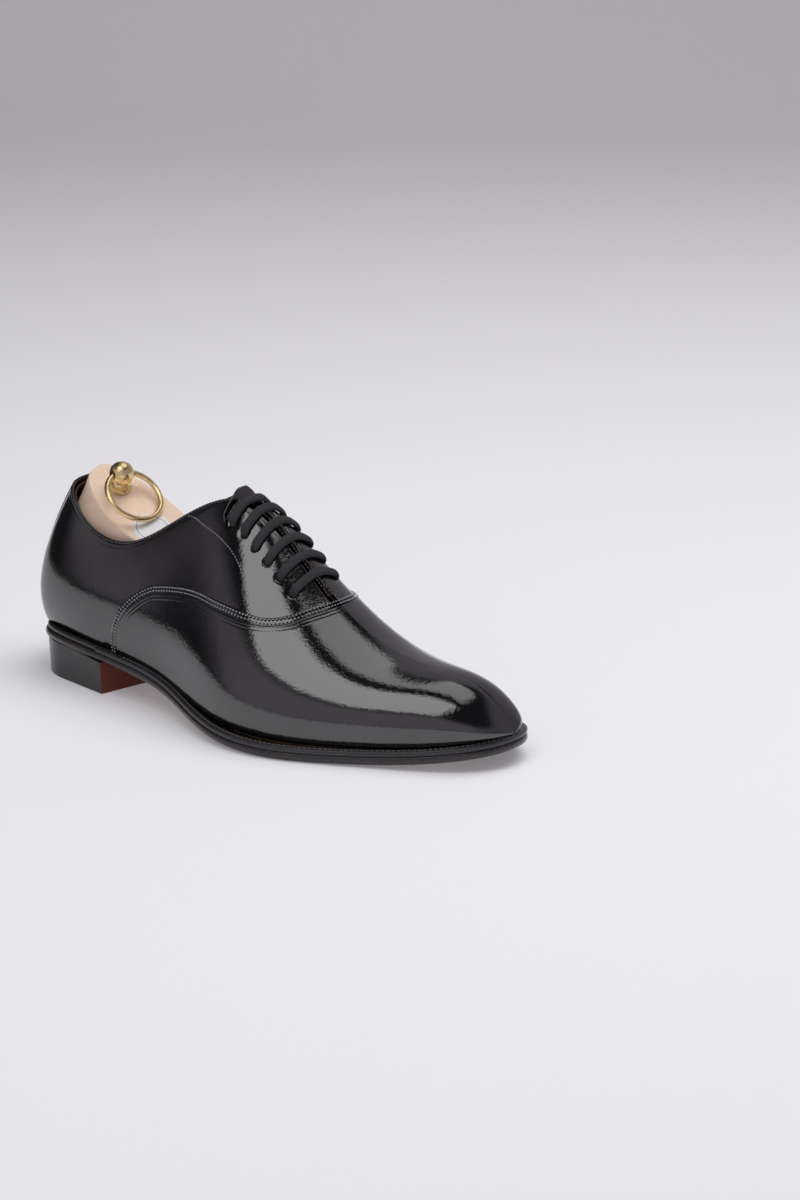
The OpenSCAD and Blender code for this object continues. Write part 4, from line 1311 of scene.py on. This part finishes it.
@dataclass
class ShoeTree:
    """Heel block, knob, ring and label of the shoe tree."""

    wardrobe: Wardrobe
    seat: tuple = (45.4, 0.5, 99.88)
    slope_x: float = -0.5
    slope_y: float = 0.33
    knob_height_mm: float = 10.4
    ring_mm: float = 15.0
    wire_mm: float = 1.5
    ring_drop_deg: float = 43.0
    plan: tuple = ((28, -2, 3.2), (28.6, -4.2, 5), (30, -6.8, 7), (32.5, -9.3, 8.8), (36.5, -12, 10.3),
                   (43, -15, 11.8), (53, -18, 13.6), (62, -18.6, 14.8), (72, -18, 15), (82, -16, 14.2),
                   (93, -15, 13.5), (104, -15, 13.5), (116, -15, 13.5))
    low_plan: tuple = ((23.8, -1.5, 3.5), (24, -5.5, 6.8), (24.9, -9.3, 10), (27.6, -13.3, 13),
                       (32.4, -16.6, 15), (41.5, -18.8, 16.4), (52.2, -19.4, 16.8), (62, -19.2, 16.3),
                       (72, -18, 15), (82, -16, 14.2), (93, -15, 13.5), (104, -15, 13.5), (116, -15, 13.5))
    flare_mm: float = 13.0

    @property
    def up(self) -> Array:
        """The direction square to the block's sloped top."""
        return unit(np.array([-self.slope_x, -self.slope_y, 1.0]))

    def height(self, x: Array, y: Array) -> Array:
        """Height of the sloped top, in millimetres."""
        return self.seat[2] + self.slope_x * (x - self.seat[0]) + self.slope_y * (y - self.seat[1])

    def build(self) -> None:
        """Makes the visible pieces of the tree."""
        self.block()
        self.label()
        self.ring()

    @staticmethod
    def outline(rows: Sequence[tuple], at: Array) -> Array:
        """The block's closed outline, along its outer side and back along its inner one."""
        x, lo, hi = (smooth_table(at, [(float(i), r[k]) for i, r in enumerate(rows)]) for k in range(3))
        return np.vstack([np.column_stack([x, lo]), np.column_stack([x, hi])[::-1]])

    def block(self) -> None:
        """The heel block, its edges eased and its rear flared."""
        count = len(self.plan)
        at = np.unique(runs((0, 7, 57), (7, count - 1, 11)))
        upper, lower = (self.outline(rows, at) for rows in (self.plan, self.low_plan))
        n = len(upper)
        floor = np.interp(lower[:, 0], [20, 50, 80, 105, 118], [28.8, 28.2, 25, 21.5, 20]) + 0.6
        top = self.height(upper[:, 0], upper[:, 1])
        centre = np.array([65.0, -1.0])
        levels = []
        for inset, drop in ((1.0, 0.0), (0.55, 0.1), (0.22, 0.4), (0.05, 0.8)):
            q = upper + unit(centre - upper) * inset
            levels.append(np.column_stack([q, self.height(q[:, 0], q[:, 1]) - drop]))
        for f in (0.1, 0.25, 0.45, 0.65, 0.82, 0.93, 1.0):
            levels.append(np.column_stack([upper + (lower - upper) * (f - 0.06 * math.sin(math.pi * f)),
                                           top - self.flare_mm * f]))
        for f in (0.1, 0.4, 0.7, 1.0):
            levels.append(np.column_stack([lower, (top - self.flare_mm) * (1 - f) + floor * f]))
        verts = np.vstack(levels)
        faces = quads(len(levels), n, wrap=True)
        half = n // 2
        last = (len(levels) - 1) * n
        faces += [(i, i + 1, n - 2 - i, n - 1 - i) for i in range(half - 1)]
        faces += [(last + i, last + n - 1 - i, last + n - 2 - i, last + i + 1) for i in range(half - 1)]
        obj = tidy(add_mesh("tree_heel_wood", (verts - LAST.middle()) * MM, faces))
        crease_by_angle(obj, 40)
        fit_out(obj, Body.TREE, self.wardrobe["wood"], node=["tree_heel_block"], slot="tree_wood")

    def label(self) -> None:
        """The paper oval stuck to the wood."""
        rings, around = 14, 72
        x0, y0 = 73.5, -5.5
        n = self.up
        a = unit(np.array([1.0, 0.0, self.slope_x]))
        b = np.cross(n, a)
        c = np.array([x0, y0, self.height(np.array(x0), np.array(y0))]) + 0.36 * n
        ang = np.linspace(0, 2 * np.pi, around, endpoint=False)
        verts, mid = [c], [0.0]
        for k in range(1, rings + 1):
            r = 10.8 * k / rings
            drop = 0.28 if k == rings else 0.0
            for t in ang:
                verts.append(c + r * (math.cos(t) * a + 0.95 * math.sin(t) * b) - drop * n)
                mid.append(r)
        faces = [(0, 1 + j, 1 + (j + 1) % around) for j in range(around)]
        faces += quads(rings, around, wrap=True, start=1)
        obj = add_mesh("tree_label_paper", (np.array(verts) - LAST.middle()) * MM, faces,
                       layers={"from_middle": np.array(mid)})
        fit_out(tidy(obj), Body.TREE, self.wardrobe["label"], node=["tree_label"], slot="label_paper")

    def ring(self) -> None:
        """The pull ring, hanging forward on the wood."""
        drop = math.radians(self.ring_drop_deg)
        axis = unit(np.array([0.184, 0.983, 0.0]))
        out = unit(np.array([0.983 * math.cos(drop), -0.184 * math.cos(drop), -math.sin(drop)]))
        knob = np.array(self.seat) + self.knob_height_mm * self.up
        c = knob + (self.ring_mm - 0.7) * out
        n, m = 120, 24
        t = np.linspace(0, 2 * np.pi, n, endpoint=False)
        s = np.linspace(0, 2 * np.pi, m, endpoint=False)
        radial = np.cos(t)[:, None] * axis + np.sin(t)[:, None] * out
        normal = np.cross(axis, out)
        verts = (c + radial[:, None] * (self.ring_mm + self.wire_mm * np.cos(s))[None, :, None]
                 + normal * (self.wire_mm * np.sin(s))[None, :, None])
        faces = [(i * m + j, i * m + (j + 1) % m, ((i + 1) % n) * m + (j + 1) % m, ((i + 1) % n) * m + j)
                 for i in range(n) for j in range(m)]
        obj = tidy(add_mesh("pull_ring_wire", (verts - LAST.middle()) * MM, faces))
        fit_out(obj, Body.RING, self.wardrobe["brass"], node=["pull_ring"], slot="tree_brass")


# ---------------------------------------------------------------- studio

@dataclass(frozen=True)
class SoftBox:
    """One rectangular studio light; radiance is its brightness seen head on."""

    name: str
    place: tuple
    aim: tuple
    size: tuple
    radiance: float
    mirrored: bool = True


@dataclass
class Studio:
    """Floor, soft lights and camera."""

    room: float = 0.03
    wall: float = 0.3
    bright: float = 1.7
    bright_azimuth_deg: float = -80.0
    bright_cone_deg: tuple = (30.0, 72.0)
    dark_azimuth_deg: float = 183.0
    dark_cone_deg: tuple = (16.0, 46.0)
    ceiling_deg: tuple = (34.0, 50.0)
    room_colour: tuple = (1.0, 0.9, 1.02, 1.0)
    boxes: tuple = (
        SoftBox("outer_box", (0.08, -0.86, 1.62), (0.08, -0.86, 0.0), (0.95, 1.45), 2.05),
        SoftBox("inner_box", (0.0, 0.66, 1.62), (0.0, 0.66, 0.0), (1.1, 0.95), 1.3),
        SoftBox("fill", (0.5, 0.45, 1.8), (0.0, 0.0, 0.0), (1.5, 1.5), 2.6, mirrored=False),
    )

    azimuth_deg: float = 40.4
    elevation_deg: float = 17.4
    distance: float = 1.443
    target_mm: tuple = (150.0, 0.0, 40.0)
    yaw_deg: float = 2.57
    pitch_deg: float = 0.66
    roll_deg: float = -0.64
    lens_mm: float = 85.14

    def build(self) -> None:
        """Sets up the whole studio."""
        self.floor()
        self.world()
        self.lights()
        self.camera()
        view = bpy.context.scene.view_settings
        view.view_transform = "Standard"
        view.look = "None"

    def floor(self) -> None:
        """A wide sweep of pale paper that curves up far behind."""
        a = math.radians(self.azimuth_deg)
        back = np.array([-math.sin(a), math.cos(a), 0.0])
        side = np.array([math.cos(a), math.sin(a), 0.0])
        path = [(-6.0, 0.0), (0.0, 0.0), (2.2, 0.0)]
        bend = np.linspace(0.15, math.pi / 2, 14)
        path += [(2.2 + 1.2 * math.sin(t), 1.2 - 1.2 * math.cos(t)) for t in bend]
        path += [(3.4, 4.5)]
        verts = [back * d + np.array([0, 0, z]) + side * w for d, z in path for w in (-6.0, 6.0)]
        obj = add_mesh("studio_floor", np.array(verts), quads(len(path), 2))
        obj.data.materials.append(FloorFinish().build())

    def world(self) -> None:
        """A dim room with pale walls, brighter on the outer side, dark behind the heel and overhead."""
        world = bpy.data.worlds.new("studio")
        world.use_nodes = True
        tree = world.node_tree
        around = tree.nodes.new("ShaderNodeTexCoord").outputs["Generated"]

        def towards(azimuth_deg: float) -> Socket:
            """How far each direction leans towards a compass angle, as a cosine."""
            a = math.radians(azimuth_deg)
            dot = tree.nodes.new("ShaderNodeVectorMath")
            dot.operation = "DOT_PRODUCT"
            dot.inputs[1].default_value = (math.cos(a), math.sin(a), 0.0)
            tree.links.new(around, dot.inputs[0])
            return dot.outputs["Value"]

        def fade(value: Socket, start: float, stop: float, low: float, high: float) -> Socket:
            """A soft step from low to high while the value goes from start to stop."""
            node = tree.nodes.new("ShaderNodeMapRange")
            node.interpolation_type = "SMOOTHSTEP"
            for key, number in (("From Min", start), ("From Max", stop), ("To Min", low), ("To Max", high)):
                node.inputs[key].default_value = number
            tree.links.new(value, node.inputs["Value"])
            return node.outputs["Result"]

        def times(a: Value, b: Value, plus: float = 0.0) -> Socket:
            """One value times another, plus a number."""
            node = tree.nodes.new("ShaderNodeMath")
            node.operation = "MULTIPLY_ADD"
            for socket, value in zip(node.inputs, (a, b, plus)):
                if isinstance(value, Socket):
                    tree.links.new(value, socket)
                else:
                    socket.default_value = value
            return node.outputs[0]

        split = tree.nodes.new("ShaderNodeSeparateXYZ")
        tree.links.new(around, split.inputs[0])
        near, far = (math.cos(math.radians(d)) for d in self.dark_cone_deg)
        behind = fade(towards(self.dark_azimuth_deg), far, near, 1.0, 0.0)
        low, high = (math.sin(math.radians(d)) for d in self.ceiling_deg)
        overhead = fade(split.outputs["Z"], low, high, 1.0, 0.0)
        near, far = (math.cos(math.radians(d)) for d in self.bright_cone_deg)
        lobe = fade(towards(self.bright_azimuth_deg), far, near, 1.0, self.bright)
        level = times(times(times(behind, overhead), lobe), self.wall - self.room, self.room)
        back = tree.nodes["Background"]
        back.inputs["Color"].default_value = self.room_colour
        tree.links.new(level, back.inputs["Strength"])
        bpy.context.scene.world = world

    def lights(self) -> None:
        """Two large soft boxes overhead, the inner one dimmer, and a fill that no gloss mirrors."""
        for box in self.boxes:
            data = bpy.data.lights.new(box.name, "AREA")
            data.shape = "RECTANGLE"
            data.size, data.size_y = box.size
            data.energy = box.radiance * math.pi * box.size[0] * box.size[1]
            data.color = (0.985, 0.99, 1.0)
            lamp = bpy.data.objects.new(box.name, data)
            bpy.context.scene.collection.objects.link(lamp)
            lamp.location = box.place
            lamp.visible_glossy = box.mirrored
            lamp.rotation_euler = (Vector(box.place) - Vector(box.aim)).to_track_quat("Z", "Y").to_euler()

    def camera(self) -> None:
        """The camera, aimed a little to the right of the target and rolled slightly."""
        a, e = math.radians(self.azimuth_deg), math.radians(self.elevation_deg)
        away = np.array([math.sin(a) * math.cos(e), -math.cos(a) * math.cos(e), math.sin(e)])
        target = (np.array(self.target_mm) - LAST.middle()) * MM
        place = target + self.distance * away
        fw = -away
        right = unit(np.cross(fw, [0, 0, 1]))
        up = np.cross(right, fw)
        y, p, r = (math.radians(v) for v in (self.yaw_deg, self.pitch_deg, self.roll_deg))
        fw = fw * math.cos(y) + right * math.sin(y)
        right = unit(np.cross(fw, up))
        fw = fw * math.cos(p) + up * math.sin(p)
        up = np.cross(right, fw)
        right = right * math.cos(r) + up * math.sin(r)
        up = np.cross(right, fw)
        data = bpy.data.cameras.new("camera")
        data.lens = self.lens_mm
        data.sensor_width = 36.0
        data.clip_end = 50.0
        cam = bpy.data.objects.new("camera", data)
        bpy.context.scene.collection.objects.link(cam)
        m = Matrix.Identity(4)
        for i, axis in enumerate((right, up, -fw)):
            for k in range(3):
                m[k][i] = axis[k]
        m.translation = Vector(place)
        cam.matrix_world = m
        bpy.context.scene.camera = cam


def dress_frame(wardrobe: Wardrobe) -> None:
    """Gives each CAD node that stays in view, or inside, its own finish."""
    for node, key in {
        "vamp_lining": "lining", "heel_counter": "raw", "toe_puff": "raw", "facing_stay_lateral": "cloth",
        "facing_stay_medial": "cloth", "insole": "raw", "sock_liner": "sock", "cork_filler": "cork",
        "shank": "steel", "top_piece_insert": "rubber", "heel_nails": "nail", "tree_forepart": "wood",
        "tree_leaf_front": "brass", "tree_leaf_rear": "brass", "tree_hinge_pin": "brass",
        "tree_knob": "brass", "tree_knob_screw": "brass",
    }.items():
        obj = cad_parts[node]
        for slot in obj.material_slots:
            slot.material = wardrobe[key]
        if node == "tree_knob":
            obj.modifiers.new("crease", "EDGE_SPLIT").split_angle = math.radians(35)
        log.info("%s: dressed as %s", node, key)


def main() -> None:
    """Builds the shoe, the tree and the studio in order."""
    logging.basicConfig(level=logging.INFO, format="%(name)s %(message)s")
    wardrobe = Wardrobe()
    dress_frame(wardrobe)
    Upper(wardrobe).build()
    Lacing(wardrobe).build()
    Bottom(wardrobe).build()
    ShoeTree(wardrobe).build()
    Studio().build()


if __name__ == "__main__":
    main()
